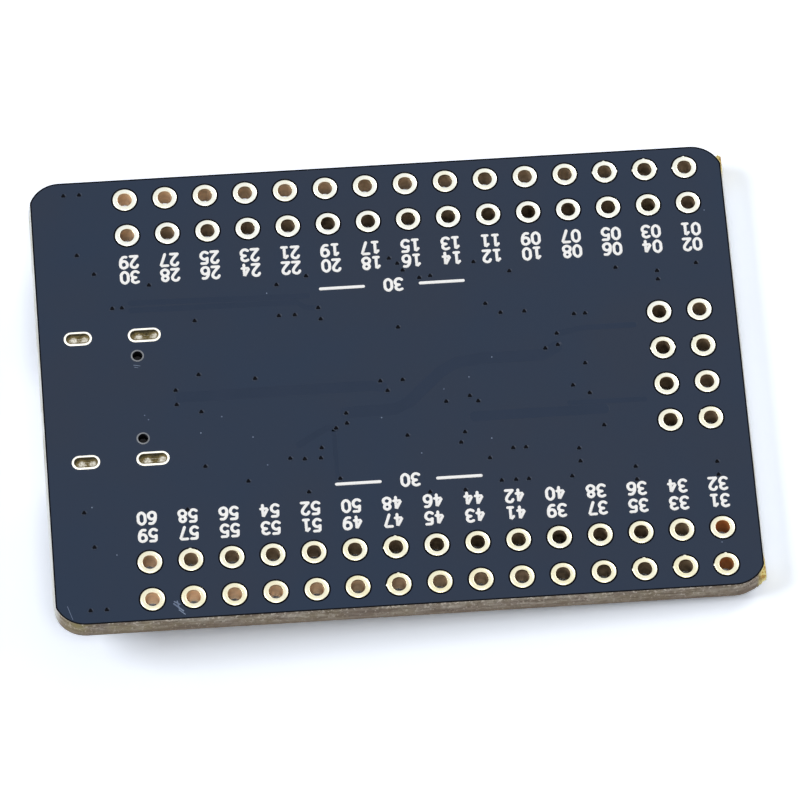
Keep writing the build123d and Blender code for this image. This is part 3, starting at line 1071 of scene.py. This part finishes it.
@dataclass
class SolderedSlots:
    """The receptacle's four tab slots: a tinned land round each, and solder sunk inside it."""

    frame: BoardFrame
    slot_width: float = 0.6
    slot_clearance: float = 0.4
    land_overhang: float = 0.18
    tab_inset: float = 0.15
    front_tab: Place = (2.42, 1.0)
    rear_tab: Place = (6.59, 1.3)
    arc_points: int = 13

    def places(self) -> list[Triple]:
        """Where the slots are.

        Returns:
            Each slot's middle in X and Y, and its length.
        """
        low, high = (np.array(corner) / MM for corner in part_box("usb_shell"))
        across = high[1] - self.tab_inset
        return [
            (low[0] + along, side * across, width + self.slot_clearance)
            for along, width in (self.front_tab, self.rear_tab)
            for side in (-1, 1)
        ]

    def profile(self) -> np.ndarray:
        """The rings of a filled slot: under its land, over it, and down to the middle line.

        Returns:
            The offset and the height of each ring.
        """
        wall, outer = self.slot_width / 2, self.slot_width / 2 + self.land_overhang
        return np.array([
            (wall + 0.02, -0.17), (wall + 0.02, -SUNK), (outer, -SUNK), (outer, 0.012),
            (outer - 0.02, 0.025), (wall + 0.06, 0.025), (wall + 0.035, 0.016), (wall - 0.01, 0.0),
            (0.25, -0.05), (0.2, -0.08), (0.15, -0.1), (0.1, -0.11), (0.05, -0.11), (0.012, -0.11),
        ])

    def filled_slot(self, length: float, seed: int) -> Surface:
        """One slot's land and solder.

        A ring at an offset d from the slot's middle line is a stadium: half circles of radius d at
        the two ends of that line. The land is flat and stands a little up; inside the slot the
        height falls with the distance from the wall, and low round lumps of solder, each a Gaussian
        hill, stand on that floor.

        Args:
            length: The slot's overall length.
            seed: Sets the lumps.

        Returns:
            A surface closed underneath, centred on the Z axis.
        """
        half_line, wall = (length - self.slot_width) / 2, self.slot_width / 2
        angle = np.linspace(-math.pi / 2, math.pi / 2, self.arc_points)
        right = np.stack([np.cos(angle), np.sin(angle)], axis=1)
        along = np.linspace(half_line, -half_line, self.arc_points)[1:-1]
        upper = np.tile([0.0, 1.0], (len(along), 1))
        unit = np.concatenate([right, upper, -right, -upper])
        end = np.full(self.arc_points, half_line)
        centre = np.concatenate([end, along, -end, -along])
        offset, base = (self.profile()[:, [k]] for k in range(2))
        x, y = offset * unit[:, 0] + centre, offset * unit[:, 1]
        height = base + 0 * x
        inside = np.clip((wall - offset) / wall, 0, 1) ** 0.5
        # Painted shade: the tone rises towards +Y and next to the slot's wall, darkening the solder as
        # shade in the recess, on top of its flux.
        tone = 0.74 + 0.9 * y + 0.2 * np.clip(1 - (wall - offset) / 0.1, 0, 1)
        rng = np.random.default_rng(seed)
        for lump in (-0.65, 1.15):
            spot = (lump * half_line * rng.uniform(0.9, 1.05), rng.uniform(-0.08, -0.03))
            spread = rng.uniform(0.16, 0.19)
            hill = np.exp(-((x - spot[0]) ** 2 + (y - spot[1]) ** 2) / (2 * spread**2))
            height += inside * hill * rng.uniform(0.04, 0.07)
            # Painted highlight: the tone falls on each lump, so the lump shows paler.
            tone = tone - 0.72 * hill
        tone = np.where(offset < wall + 0.05, np.clip(tone, 0.22, 1), 0.0)
        return skin(np.stack([x, y, height], axis=-1), tone=tone)

    def build(self) -> None:
        """Makes the four filled slots."""
        made = [
            self.filled_slot(length, 20 + index).moved(x, y, self.frame.back)
            for index, (x, y, length) in enumerate(self.places())
        ]
        add_piece("slot_solder", joined(made), Finish.SOLDER)


@dataclass
class SolderedPads:
    """The soldered pads under the leads and end caps on the component side."""

    frame: BoardFrame
    rise: float = 0.05
    contact: float = 0.03
    points: int = 20

    MARGINS = {
        "microcontroller_leads": (0.16, 0.04),
        "regulator_leads": (0.15, 0.12),
        "diode_tabs": (0.15, 0.15),
        "switch_terminals": (0.2, 0.12),
        "capacitor_end_caps": (0.06, 0.14),
        "resistor_end_caps": (0.06, 0.14),
    }

    def feet(self, node: str) -> np.ndarray:
        """Where a node's separate solids stand on the board.

        Each point starts with a number of its own, and every triangle gives its three points the
        lowest number among them until nothing changes, so each solid ends with one number. The
        points near the board then give each solid's lowest and highest corner.

        Args:
            node: The node's name.

        Returns:
            One row for each foot: low x, low y, high x, high y, in millimetres.
        """
        mesh = bpy.data.objects[node].data
        place = np.empty(len(mesh.vertices) * 3)
        mesh.vertices.foreach_get("co", place)
        place, same = np.unique(place.reshape(-1, 3).round(7), axis=0, return_inverse=True)
        mesh.calc_loop_triangles()
        corners = np.empty(len(mesh.loop_triangles) * 3, dtype=np.int64)
        mesh.loop_triangles.foreach_get("vertices", corners)
        triangles = same.ravel()[corners].reshape(-1, 3)
        number = np.arange(len(place))
        while True:
            lowest = number[triangles].min(axis=1)
            after = number.copy()
            np.minimum.at(after, triangles.ravel(), np.repeat(lowest, 3))
            if np.array_equal(after, number):
                break
            number = after
        place = place / MM
        near = abs(place[:, 2] - self.frame.front) < self.contact
        feet = [place[near & (number == solid), :2] for solid in np.unique(number[near])]
        return np.array([np.concatenate([foot.min(axis=0), foot.max(axis=0)]) for foot in feet])

    def pad(self, foot: np.ndarray, margins: Place) -> Surface:
        """One pad: a low pillow of solder, somewhat longer and wider than the foot on it.

        At the angle a its edge is (A |cos a|^0.35, B |sin a|^0.35) with the signs of the cosine and
        sine, where A and B are its half sizes. It draws in towards its top.

        Args:
            foot: Low x, low y, high x and high y of the foot.
            margins: How far it reaches past the foot's short ends and long sides.

        Returns:
            A closed surface that hangs under the component side.
        """
        half = (foot[2:] - foot[:2]) / 2
        half = half + np.array(margins if half[0] >= half[1] else margins[::-1])
        a = np.linspace(0, 2 * math.pi, self.points, endpoint=False)
        unit = np.stack([np.cos(a), np.sin(a)], axis=1)
        edge = np.sign(unit) * abs(unit) ** 0.35 * half
        inset, height = (np.array(row)[:, None, None] for row in ((0, 0, 0.02, 0.06), (-0.01, 0.4, 0.8, 1)))
        level = edge * (1 - inset / half.min())
        rise = np.broadcast_to(height * self.rise, (*level.shape[:2], 1))
        middle = (foot[2:] + foot[:2]) / 2
        return skin(np.concatenate([level, rise], axis=-1)).flipped().moved(*middle, self.frame.front)

    def build(self) -> None:
        """Makes every pad, as one piece."""
        pads = [
            self.pad(foot, margins)
            for node, margins in self.MARGINS.items()
            for foot in self.feet(node)
        ]
        add_piece("component_pads", joined(pads), Finish.SOLDER)


@dataclass
class PegHoles:
    """The bare rims of the two holes that locate the receptacle, and their walls, painted near-black as the
    shade in the holes.
    """

    frame: BoardFrame
    from_mouth: float = 6.07
    spacing: float = 5.78
    hole_radius: float = 0.325
    rim_radius: float = 0.415
    depth: float = 0.9
    segments: int = 36

    def build(self) -> None:
        """Makes both holes' rims and walls."""
        inner, deep = self.hole_radius - 0.005, -self.depth
        rim = flat_ring(inner, self.rim_radius, 0.006, self.segments)
        wall = lathe([(inner, 0), (inner, deep), (inner + 0.02, deep), (inner + 0.02, 0)], self.segments)
        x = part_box("usb_shell")[0].x / MM + self.from_mouth
        # The walls are painted near-black as shade in the holes.
        kinds = (("peg_hole_rims", rim, Finish.BARE), ("peg_hole_walls", wall, Finish.GAP))
        for name, ring, finish in kinds:
            both = [ring.moved(x, side * self.spacing / 2, self.frame.back) for side in (-1, 1)]
            add_piece(name, joined(both), finish)


@dataclass
class CoveredCopper:
    """Traces and tented vias that show faintly through the mask."""

    frame: BoardFrame
    trace_rise: float = 0.002
    via_radius: float = 0.2
    via_rise: float = 0.03
    pit_radius: float = 0.125
    pit_points: float = 0.2
    pit_rise: float = 0.004
    via_places: Sequence[Place] = (
        (-19.8, 14.5), (-18.8, 14.5), (-19.2, 10.2), (-18.2, 8.8), (-14.8, 7.8), (-4.9, 7.8),
        (0.4, 8.7), (0.9, 8.3), (1.2, 7.8), (5.7, 8.1), (-17.2, 6.3), (-16.6, 6.3), (-12.1, 5.1),
        (-6.8, 5.1), (-6.8, 7.3), (-5.8, 5.1), (-4.3, 5.5), (-4.2, 4.7), (2.2, 7.2), (2.9, 7.3),
        (6.2, 5.1), (7.9, 7.3), (14.6, 7.1), (17.2, 6.7), (17.2, 6.1), (19.7, 7.1), (0.6, 3.8),
        (7.1, 4.4), (8.6, 4.4), (9.7, 1.7), (10.5, 2.7), (10.5, 1.9), (11.7, 4.0), (12.4, 4.0),
        (-13.6, 0.3), (-13.6, -0.7), (-12.1, 1.3), (-12.1, -1.3), (-8.6, 0.8), (-0.8, 0.1),
        (-0.4, -0.6), (0.6, 0.1), (4.7, -1.3), (11.2, -1.0), (12.1, 0.5), (-4.8, -4.3), (-3.8, -3.0),
        (-3.1, -2.0), (-3.1, -2.7), (0.6, -3.8), (3.2, -1.6), (4.2, -3.8), (5.2, -1.7), (12.2, -1.6),
        (12.9, -3.9), (-12.1, -5.1), (-9.5, -6.3), (-6.8, -4.9), (-5.9, -5.0), (-5.8, -7.3),
        (-4.9, -5.0), (-3.8, -6.5), (3.9, -4.5), (5.6, -5.7), (6.2, -7.3), (7.1, -5.1), (7.1, -7.3),
        (7.9, -5.1), (7.9, -7.3), (10.6, -7.3), (11.2, -5.4), (11.2, -6.3), (14.6, -6.9), (19.7, -6.9),
        (-19.8, -7.8), (-19.3, -10.2), (-13.4, -8.0), (1.7, -7.8), (3.9, -7.8), (14.6, -7.8),
        (19.7, -7.8), (-19.8, -14.5), (-18.8, -14.5),
    )
    traces: Sequence[tuple[float, Sequence[Place]]] = (
        (0.4, ((-16.0, 6.62), (-4.9, 6.4))),
        (0.4, ((-16.0, 6.1), (-5.6, 6.0), (-5.1, 5.6), (-4.3, 5.5))),
        (0.75, ((-13.3, -0.2), (-1.6, -0.18), (-0.7, -0.3))),
        (0.8, ((-3.1, -1.95), (0.0, -1.9), (0.9, -1.45), (3.0, 0.5), (4.0, 1.08), (5.6, 1.28), (9.6, 1.28),
               (10.4, 1.8))),
        (0.4, ((10.5, 2.7), (12.1, 3.0), (15.4, 3.0))),
        (0.7, ((4.9, -2.75), (13.0, -2.75))),
        (0.35, ((10.9, -2.2), (15.6, -2.25))),
        (0.3, ((-3.95, -3.2), (-3.95, -6.5))),
        (0.45, ((-6.2, -4.0), (-5.2, -3.4), (-4.4, -2.95), (-3.9, -3.0))),
    )

    def via(self) -> Surface:
        """One via: a soft, very low round mound of mask.

        Returns:
            A closed surface on the Z axis.
        """
        shares = ((1, 0), (0.85, 0.35), (0.65, 0.9), (0.5, 1), (0.2, 1))
        profile = [(u * self.via_radius, v * self.via_rise) for u, v in shares]
        return lathe([(self.via_radius, -SUNK), *profile], 14, loop=False)

    def pit(self) -> Surface:
        """The pit in a via, painted as a dark patch of shade with three blunt points, one of them towards
        +Y.

        Its edge at the angle a lies r (1 + p cos 3(a - 90 degrees)) from the middle, where p is how
        far the points stand out.

        Returns:
            A closed surface on the Z axis, just above the mound.
        """
        rise = self.pit_rise
        patch = lathe([(1, -1.5 * rise), (1, 0.5 * rise), (0.7, rise), (0.2, rise)], 15, loop=False)
        x, y = patch.points[:, 0], patch.points[:, 1]
        reach = self.pit_radius * (1 + self.pit_points * np.cos(3 * (np.arctan2(y, x) - math.pi / 2)))
        patch.points[:, :2] *= reach[:, None]
        return patch.moved(z=self.via_rise)

    def build(self) -> None:
        """Makes the vias, the painted shade of their pits and the traces, each as one piece."""
        for name, unit, finish, slot in (
            ("tented_vias", self.via(), Finish.COVERED_VIA, "solder_mask"),
            # Painted shade: the dark patch on each via stands in for its pit.
            ("via_pits", self.pit(), Finish.GAP, None),
        ):
            above = [unit.moved(x, y, self.frame.back) for x, y in self.via_places]
            below = [unit.flipped().moved(x, y, self.frame.front) for x, y in self.via_places]
            add_piece(name, joined(above + below), finish)
        traces = [
            ribbon(np.array(path, float), width, self.trace_rise, flat=True).moved(z=self.frame.back)
            for width, path in self.traces
        ]
        add_piece("covered_traces", joined(traces), Finish.COVERED_TRACE)


@dataclass
class TornWeb:
    """The ragged strip of torn laminate left round the lower right-hand corner."""

    frame: BoardFrame
    corner_radius: float = 2.0
    angles: Place = (-66.0, -27.0)
    reach: float = 0.3
    height: float = 1.0
    steps: int = 40
    seed: int = 5

    def strip(self) -> Surface:
        """The strip: a ragged section carried round the corner's arc.

        At the share u of its way it stands out by h u^1.3 (1 + 0.2 sin 37u + 0.12 sin 83u) times
        the section's own shape, which is widest low down and thins out upwards. Seeded random
        numbers roughen it.

        Returns:
            A closed surface that starts inside the board.
        """
        u = np.linspace(0, 1, self.steps)
        swell = u**1.3 * (1 + 0.2 * np.sin(37 * u) + 0.12 * np.sin(83 * u))
        section = np.array([0.75, 1.0, 1.05, 0.95, 0.75, 0.5, 0.2])
        rough = np.random.default_rng(self.seed).uniform(0.8, 1.12, (self.steps, len(section)))
        out = np.pad(self.reach * swell[:, None] * section * rough, ((0, 0), (1, 1)), constant_values=-0.05)
        level = np.linspace(0.02, 1, len(section)) * self.height
        level = self.frame.front + np.concatenate([level[:1], level, level[-1:]])
        angle = np.radians(self.angles[0] + (self.angles[1] - self.angles[0]) * u)[:, None]
        end, side = self.frame.high[0], self.frame.low[1]
        x = end - self.corner_radius + (self.corner_radius + out) * np.cos(angle)
        y = side + self.corner_radius + (self.corner_radius + out) * np.sin(angle)
        return skin(np.stack([np.minimum(x, end - 0.01), y, level + 0 * x], axis=-1))

    def build(self) -> None:
        """Makes the strip in the board's own finish."""
        add_piece("torn_web", self.strip(), Finish.LAMINATE)


@dataclass
class MaskWear:
    """The mask's margin at the outline, painted near-black as the shade of its edge, and the few scratches
    and specks on it.
    """

    frame: BoardFrame
    corner_radius: float = 2.0
    score_inset: float = 0.13
    margin: float = 0.09
    rise: float = 0.004
    arc_points: int = 16
    speck_radius: float = 0.045
    scratches: Sequence[tuple[Place, Place, float]] = (
        ((-14.66, -14.36), (-14.1, -14.88), 0.1), ((-14.44, -14.2), (-14.34, -14.72), 0.08),
        ((-14.36, -14.8), (-14.0, -15.12), 0.06), ((-14.62, -14.22), (-14.3, -14.42), 0.08),
        ((-21.2, -14.12), (-20.92, -15.02), 0.035), ((-16.1, 2.25), (-15.7, 2.17), 0.03),
        ((-16.05, 2.1), (-15.85, 2.05), 0.03),
    )
    specks: Sequence[Place] = (
        (-15.64, -1.3), (-15.42, -1.62), (-10.85, -1.71), (-12.22, -2.76), (-9.0, -3.26), (-8.23, -5.25),
        (3.13, -0.72), (4.76, 0.02), (8.59, 4.42), (6.3, 1.32), (5.83, -4.33), (1.39, -5.07),
        (-0.91, -2.45), (-7.45, 6.75), (-17.95, -10.81), (-7.94, -11.97), (19.47, -12.45), (14.13, 8.39),
        (20.58, 10.82), (-10.34, -10.98), (-19.29, -7.45),
    )

    def outline(self, inset: float) -> np.ndarray:
        """The mask's outline moved inwards: quarter circles, cut off where the scored ends begin.

        Args:
            inset: How far it is moved.

        Returns:
            The points, one row each.
        """
        radius = self.corner_radius - inset
        half = np.array(self.frame.high[:2]) - self.corner_radius
        angle = np.radians(90.0 * np.arange(4)[:, None] + np.linspace(0, 90, self.arc_points))
        signs = np.array([(1, 1), (-1, 1), (-1, -1), (1, -1)])
        arcs = np.stack([np.cos(angle), np.sin(angle)], axis=-1) * radius + (signs * half)[:, None]
        end = self.frame.high[0] - self.score_inset - inset
        arcs[..., 0] = np.clip(arcs[..., 0], -end, end)
        return arcs.reshape(-1, 2)

    def border(self) -> Surface:
        """The margin: a flat closed band between the outline and the same outline moved inwards.

        Returns:
            A closed surface that stands up from z = 0 and is sunk a little below it.
        """
        section = ((0.0, -SUNK), (0.0, self.rise), (self.margin, self.rise), (self.margin, -SUNK))
        lines = [(self.outline(inset), z) for inset, z in section]
        bands = [np.column_stack([line, np.full(len(line), z)]) for line, z in lines]
        return skin(np.stack(bands, axis=1), loop=True)

    def build(self) -> None:
        """Makes the margin and the scuffs."""
        top = self.frame.back
        # Painted shade: a near-black band along the mask's outline.
        add_piece("mask_margin", self.border().moved(z=top), Finish.GAP)
        marks = [ribbon(np.array([a, b]), width, self.rise) for a, b, width in self.scratches]
        r = self.speck_radius
        dot = lathe([(r, -SUNK), (r, 0.002), (r / 1.5, 0.006), (r / 4.5, 0.007)], 8, loop=False)
        marks += [dot.moved(x, y) for x, y in self.specks]
        add_piece("mask_scuffs", joined(marks).moved(z=top), Finish.SCUFF)


# ---------------------------------------------------------------- print
class Stroke(Enum):
    """How a drawn stroke goes through its knots."""

    STRAIGHT = "straight"
    CURVED = "curved"
    CLOSED = "closed"


@dataclass
class PrintedNumbers:
    """Plain numbers in white ink, printed upside down: one for each pin of the rows, and two marks.

    A mark is the number of pins in a double row, between two bars.
    """

    frame: BoardFrame
    digit_width: float = 0.43
    digit_height: float = 0.8
    advance: float = 0.65
    line_width: float = 0.19
    rule_width: float = 0.21
    ink_rise: float = 0.02
    upper_lines: Place = (9.52, 8.44)
    lower_lines: Place = (-9.6, -8.42)
    mark_middle: float = 0.55
    mark_lines: Place = (6.83, -6.87)
    rule_length: float = 2.7
    rule_starts: Place = (-4.05, 2.25)

    DIGITS = {
        "0": [
            (Stroke.CLOSED, ((0.5, 0), (0.95, 0.2), (1, 0.5), (0.95, 0.8),
                             (0.5, 1), (0.05, 0.8), (0, 0.5), (0.05, 0.2))),
        ],
        "1": [
            (Stroke.STRAIGHT, ((0.15, 0.78), (0.55, 1), (0.55, 0))),
            (Stroke.STRAIGHT, ((0.2, 0), (0.9, 0))),
        ],
        "2": [
            (Stroke.CURVED, ((0.02, 0.8), (0.2, 0.96), (0.55, 1), (0.9, 0.88),
                             (0.93, 0.66), (0.6, 0.38), (0.02, 0.02))),
            (Stroke.STRAIGHT, ((0.02, 0), (1, 0))),
        ],
        "3": [
            (Stroke.CURVED, ((0.05, 0.92), (0.5, 1), (0.9, 0.85), (0.85, 0.62), (0.4, 0.54))),
            (Stroke.CURVED, ((0.4, 0.54), (0.88, 0.46), (0.98, 0.24), (0.7, 0.03), (0.3, 0), (0.0, 0.1))),
        ],
        "4": [
            (Stroke.STRAIGHT, ((0.72, 0), (0.72, 1), (0, 0.3), (1, 0.3))),
        ],
        "5": [
            (Stroke.STRAIGHT, ((0.92, 1), (0.14, 1), (0.08, 0.55))),
            (Stroke.CURVED, ((0.08, 0.55), (0.5, 0.64), (0.92, 0.48), (0.96, 0.22),
                             (0.65, 0.02), (0.3, 0), (0, 0.1))),
        ],
        "6": [
            (Stroke.CURVED, ((0.88, 0.96), (0.45, 0.96), (0.1, 0.7), (0, 0.35))),
            (Stroke.CLOSED, ((0.5, 0), (0.92, 0.12), (1, 0.32), (0.85, 0.52),
                             (0.5, 0.6), (0.12, 0.5), (0, 0.3), (0.12, 0.08))),
        ],
        "7": [
            (Stroke.STRAIGHT, ((0, 1), (1, 1), (0.35, 0))),
        ],
        "8": [
            (Stroke.CLOSED, ((0.5, 0.54), (0.85, 0.66), (0.88, 0.86),
                             (0.5, 1), (0.12, 0.86), (0.15, 0.66))),
            (Stroke.CLOSED, ((0.5, 0.54), (0.92, 0.42), (0.98, 0.16),
                             (0.5, 0), (0.02, 0.16), (0.08, 0.42))),
        ],
    }
    DIGITS["9"] = [(kind, [(1 - x, 1 - y) for x, y in knots]) for kind, knots in DIGITS["6"]]

    def stroke(self, kind: Stroke, knots: Sequence[Place], scale: np.ndarray, shift: np.ndarray) -> Surface:
        """One stroke of a digit, scaled from its unit cell and moved into the number.

        Args:
            kind: How it goes through the knots.
            knots: Its knots in the unit cell.
            scale: The cell's width and height.
            shift: The cell's lower left corner.

        Returns:
            The inked stroke.
        """
        closed = kind is Stroke.CLOSED
        if kind is Stroke.STRAIGHT:
            path = self.with_corners(np.array(knots, float) * scale)
        else:
            path = smooth_path(knots, 3, closed) * scale
        return ribbon(path + shift, self.line_width, self.ink_rise, closed)

    def with_corners(self, knots: np.ndarray) -> np.ndarray:
        """Straight runs whose corners have two near points each, so that the stroke stays its width.

        Args:
            knots: The ends and corners.

        Returns:
            The path's points.
        """
        step = np.diff(knots, axis=0)
        unit = step / np.linalg.norm(step, axis=1, keepdims=True)
        near = 0.2 * self.line_width
        before, after = knots[1:-1] - near * unit[:-1], knots[1:-1] + near * unit[1:]
        corners = np.stack([before, after], axis=1).reshape(-1, 2)
        return np.concatenate([knots[:1], corners, knots[-1:]])

    def number(self, text: str, x: float, y: float) -> list[Surface]:
        """A number centred on x, y and turned half round.

        Args:
            text: Its digits.
            x: Its middle along the board.
            y: Its middle across the board.

        Returns:
            Its strokes.
        """
        width = (len(text) - 1) * self.advance + self.digit_width
        scale = np.array([self.digit_width, self.digit_height])
        strokes = []
        for index, digit in enumerate(text):
            corner = np.array([index * self.advance - width / 2, -self.digit_height / 2])
            strokes += [self.stroke(kind, knots, scale, corner) for kind, knots in self.DIGITS[digit]]
        return [stroke.turned(180).moved(x, y, self.frame.back) for stroke in strokes]

    def build(self) -> None:
        """Makes the numbers beside the rows, and the two marks between them."""
        count = sum(name.startswith("upper_outer") for name in self.frame.pins)
        strokes: list[Surface] = []
        rows = (("upper_inner", self.upper_lines, 1), ("lower_inner", self.lower_lines, 1 + 2 * count))
        for row, lines, lowest in rows:
            for column in range(1, count + 1):
                x = self.frame.pins[f"{row}_pin_{column:02d}"][0]
                for step, y in enumerate(lines):
                    strokes += self.number(f"{lowest + 2 * (count - column) + step:02d}", x, y)
        for y in self.mark_lines:
            strokes += self.number(str(2 * count), self.mark_middle, y)
            for start in self.rule_starts:
                rule = np.array([[start, y], [start + self.rule_length, y]])
                strokes.append(ribbon(rule, self.rule_width, self.ink_rise).moved(z=self.frame.back))
        add_piece("printed_numbers", joined(strokes), Finish.INK)


# ---------------------------------------------------------------- components
@dataclass
class Components:
    """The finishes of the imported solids, each by its node's name."""

    nodes: dict[str, bpy.types.Object]

    def finish_of(self, node: str) -> Finish:
        """The finish that belongs to a node.

        Args:
            node: The node's name.

        Returns:
            Its finish.
        """
        exact = {
            "bare_board": Finish.LAMINATE, "usb_shell": Finish.SHELL, "usb_insulator": Finish.BLACK,
            "usb_contacts": Finish.CONTACT, "light_bases": Finish.LAMP_BASE, "light_lenses": Finish.LENS,
            "capacitor_bodies": Finish.CAPACITOR, "resistor_bodies": Finish.GLAZE,
        }
        endings = (
            ("crystal_base", Finish.CERAMIC), ("crystal_lid", Finish.LID), ("switch_base", Finish.SWITCH),
            ("switch_cover", Finish.SHELL), ("switch_dome", Finish.SHELL), ("button", Finish.BUTTON),
            ("_body", Finish.EPOXY),
        )
        if node in exact:
            return exact[node]
        return next((finish for ending, finish in endings if node.endswith(ending)), Finish.TIN)

    def dress(self) -> None:
        """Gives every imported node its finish."""
        for name, node in self.nodes.items():
            finish = self.finish_of(name)
            node.data.materials.clear()
            node.data.materials.append(finish.material())
            LOG.info("%s: %s", name, finish.name.lower())


@dataclass
class SnapDomes:
    """The thin snap domes in the switches, made at rest. The real ones go flat as their buttons are
    pressed.
    """

    thickness: float = 0.06
    segments: int = 32
    rings: int = 9
    keep: float = 0.22

    def shell(self, radius: float, rise: float) -> Surface:
        """One dome, a thin shell.

        At the radius r its outer skin stands h cos(90 degrees r / R) high, for the rise h and the
        rim's radius R. Its inner skin is the same with h and R smaller by the thickness.

        Args:
            radius: The rim's radius.
            rise: The height of its middle over its rim.

        Returns:
            A closed shell that hangs down from z = 0, centred on the Z axis.
        """
        share = np.linspace(0.04, 1, self.rings)
        arch = np.cos(share * math.pi / 2)
        outer = np.stack([radius * share, rise * arch], axis=1)
        inner = np.stack([(radius - self.thickness) * share, (rise - self.thickness) * arch], axis=1)
        return lathe(np.concatenate([inner, outer[::-1]]), self.segments, loop=False).flipped()

    def build(self) -> None:
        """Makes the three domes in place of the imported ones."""
        for name in BUTTONS:
            low, high = (np.array(corner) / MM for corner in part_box(f"{name}_switch_dome"))
            x, y = (low[:2] + high[:2]) / 2
            shell = self.shell((high[0] - low[0]) / 2, high[2] - low[2]).moved(x, y, high[2])
            piece = add_piece(f"{name}_snap_dome", shell, Finish.SHELL)
            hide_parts(f"{name}_switch_dome")
            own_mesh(piece)


# ---------------------------------------------------------------- studio
@dataclass
class Camera:
    """The camera, by its place, the point that it looks at, and its roll about that line."""

    location: Triple = (-25.315, -214.862, 432.34)
    target: Triple = (0.33, -1.30, 4.76)
    roll: float = 2.675
    lens: float = 344.95
    sensor: float = 36.0

    def build(self) -> None:
        """Makes the camera and gives it to the scene.

        Forward is the unit line to the target. Right is forward x up, turned by the roll about
        forward, and the camera's own up is right x forward.
        """
        location, target = Vector(self.location) * MM, Vector(self.target) * MM
        forward = (target - location).normalized()
        right = forward.cross(Vector((0, 0, 1))).normalized()
        right.rotate(Matrix.Rotation(math.radians(-self.roll), 3, forward))
        up = right.cross(forward)
        turn = Matrix((right, up, -forward)).transposed()
        data = bpy.data.cameras.new("camera")
        data.lens, data.sensor_width = self.lens, self.sensor
        data.clip_start, data.clip_end = 0.01, 20.0
        camera = added("camera", data)
        camera.matrix_world = Matrix.Translation(location) @ turn.to_4x4()
        bpy.context.scene.camera = camera


@dataclass(frozen=True)
class SoftBox:
    """A large square lamp that looks at the board."""

    name: str
    place: Triple
    size: float
    power: float
    colour: Triple = (1.0, 1.0, 1.0)

    def build(self) -> None:
        """Makes the lamp at its place in metres, turned towards the origin."""
        data = bpy.data.lights.new(self.name, "AREA")
        data.shape, data.size, data.energy, data.color = "SQUARE", self.size, self.power, self.colour
        place = Vector(self.place)
        turn = (-place).to_track_quat("-Z", "Y").to_matrix().to_4x4()
        added(self.name, data).matrix_world = Matrix.Translation(place) @ turn


@dataclass
class Studio:
    """The floor, the soft lamps and the pale room.

    Let go, the board tips on to the receptacle's rear edge and the microcontroller, because the
    receptacle is the taller one. The floor slopes by as much under the level board.
    """

    floor_half: float = 1.5
    floor_points: int = 9
    floor_clearance: float = 0.05
    room_light: float = 0.15
    room_seen: float = 1.0
    room_tint: Colour = (0.98, 0.99, 1.02, 1.0)
    lamps: Sequence[SoftBox] = (
        SoftBox("left_lamp", (-0.929, 0.029, 0.759), 0.57, 7.6),
        SoftBox("right_lamp", (0.724, 0.763, 0.579), 0.6, 5.3),
        SoftBox("front_lamp", (0.023, -0.537, 1.073), 0.44, 3.5, (1.0, 0.98, 0.95)),
        SoftBox("low_lamp", (1.122, -0.022, 0.426), 0.75, 2.6),
    )

    def floor(self) -> None:
        """Makes the floor: a flat grid of points at z = s (x - p).

        It goes through the shell's lower rear edge at p, and s is the slope at which it all but
        touches the microcontroller's far lower edge.
        """
        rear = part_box("usb_shell")[1][0] / MM
        lowest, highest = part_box("microcontroller_body")
        slope = (lowest[2] / MM - self.floor_clearance) / (highest[0] / MM - rear)
        line = np.linspace(-self.floor_half, self.floor_half, self.floor_points) / MM
        x, y = np.meshgrid(line, line, indexing="ij")
        points = np.stack([x, y, slope * (x - rear)], axis=-1).reshape(-1, 3)
        mesh = bpy.data.meshes.new("floor")
        quads = grid_quads(len(line), len(line), False, False)[:, ::-1]
        mesh.from_pydata(points * MM, [], quads.tolist())
        mesh.materials.append(Finish.FLOOR.material())
        added("floor", mesh)

    def room(self) -> None:
        """Makes the world: a soft even light, seen as white by the camera, gloss and glass."""
        g = Graph(bpy.data.worlds.new("room"), "ShaderNodeOutputWorld")
        rays = g.add("ShaderNodeLightPath").outputs
        seen = g.math("MAXIMUM", rays["Is Camera Ray"], rays["Is Glossy Ray"])
        seen = g.math("MAXIMUM", seen, rays["Is Transmission Ray"])
        strength = g.span(seen, 0, 1, self.room_light, self.room_seen)
        back = g.add("ShaderNodeBackground", {"Color": self.room_tint, "Strength": strength})
        bpy.context.scene.world = g.ended(back)

    def build(self) -> None:
        """Makes the floor, the lamps and the room."""
        self.floor()
        self.room()
        for lamp in self.lamps:
            lamp.build()


def main() -> None:
    """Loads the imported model, dresses it, and sets the studio and camera round it."""
    logging.basicConfig(level=logging.INFO, format="%(name)s: %(message)s")
    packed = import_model()
    bpy.context.scene.view_settings.view_transform = "Standard"
    Camera().build()
    Studio().build()
    frame = BoardFrame.read(packed["record"])
    Components(packed["nodes"]).dress()
    plated = (PlatedHoles, SolderedSlots, SolderedPads, PegHoles)
    for part in (*plated, CoveredCopper, TornWeb, MaskWear, PrintedNumbers):
        part(frame).build()
    SnapDomes().build()


if __name__ == "__main__":
    main()
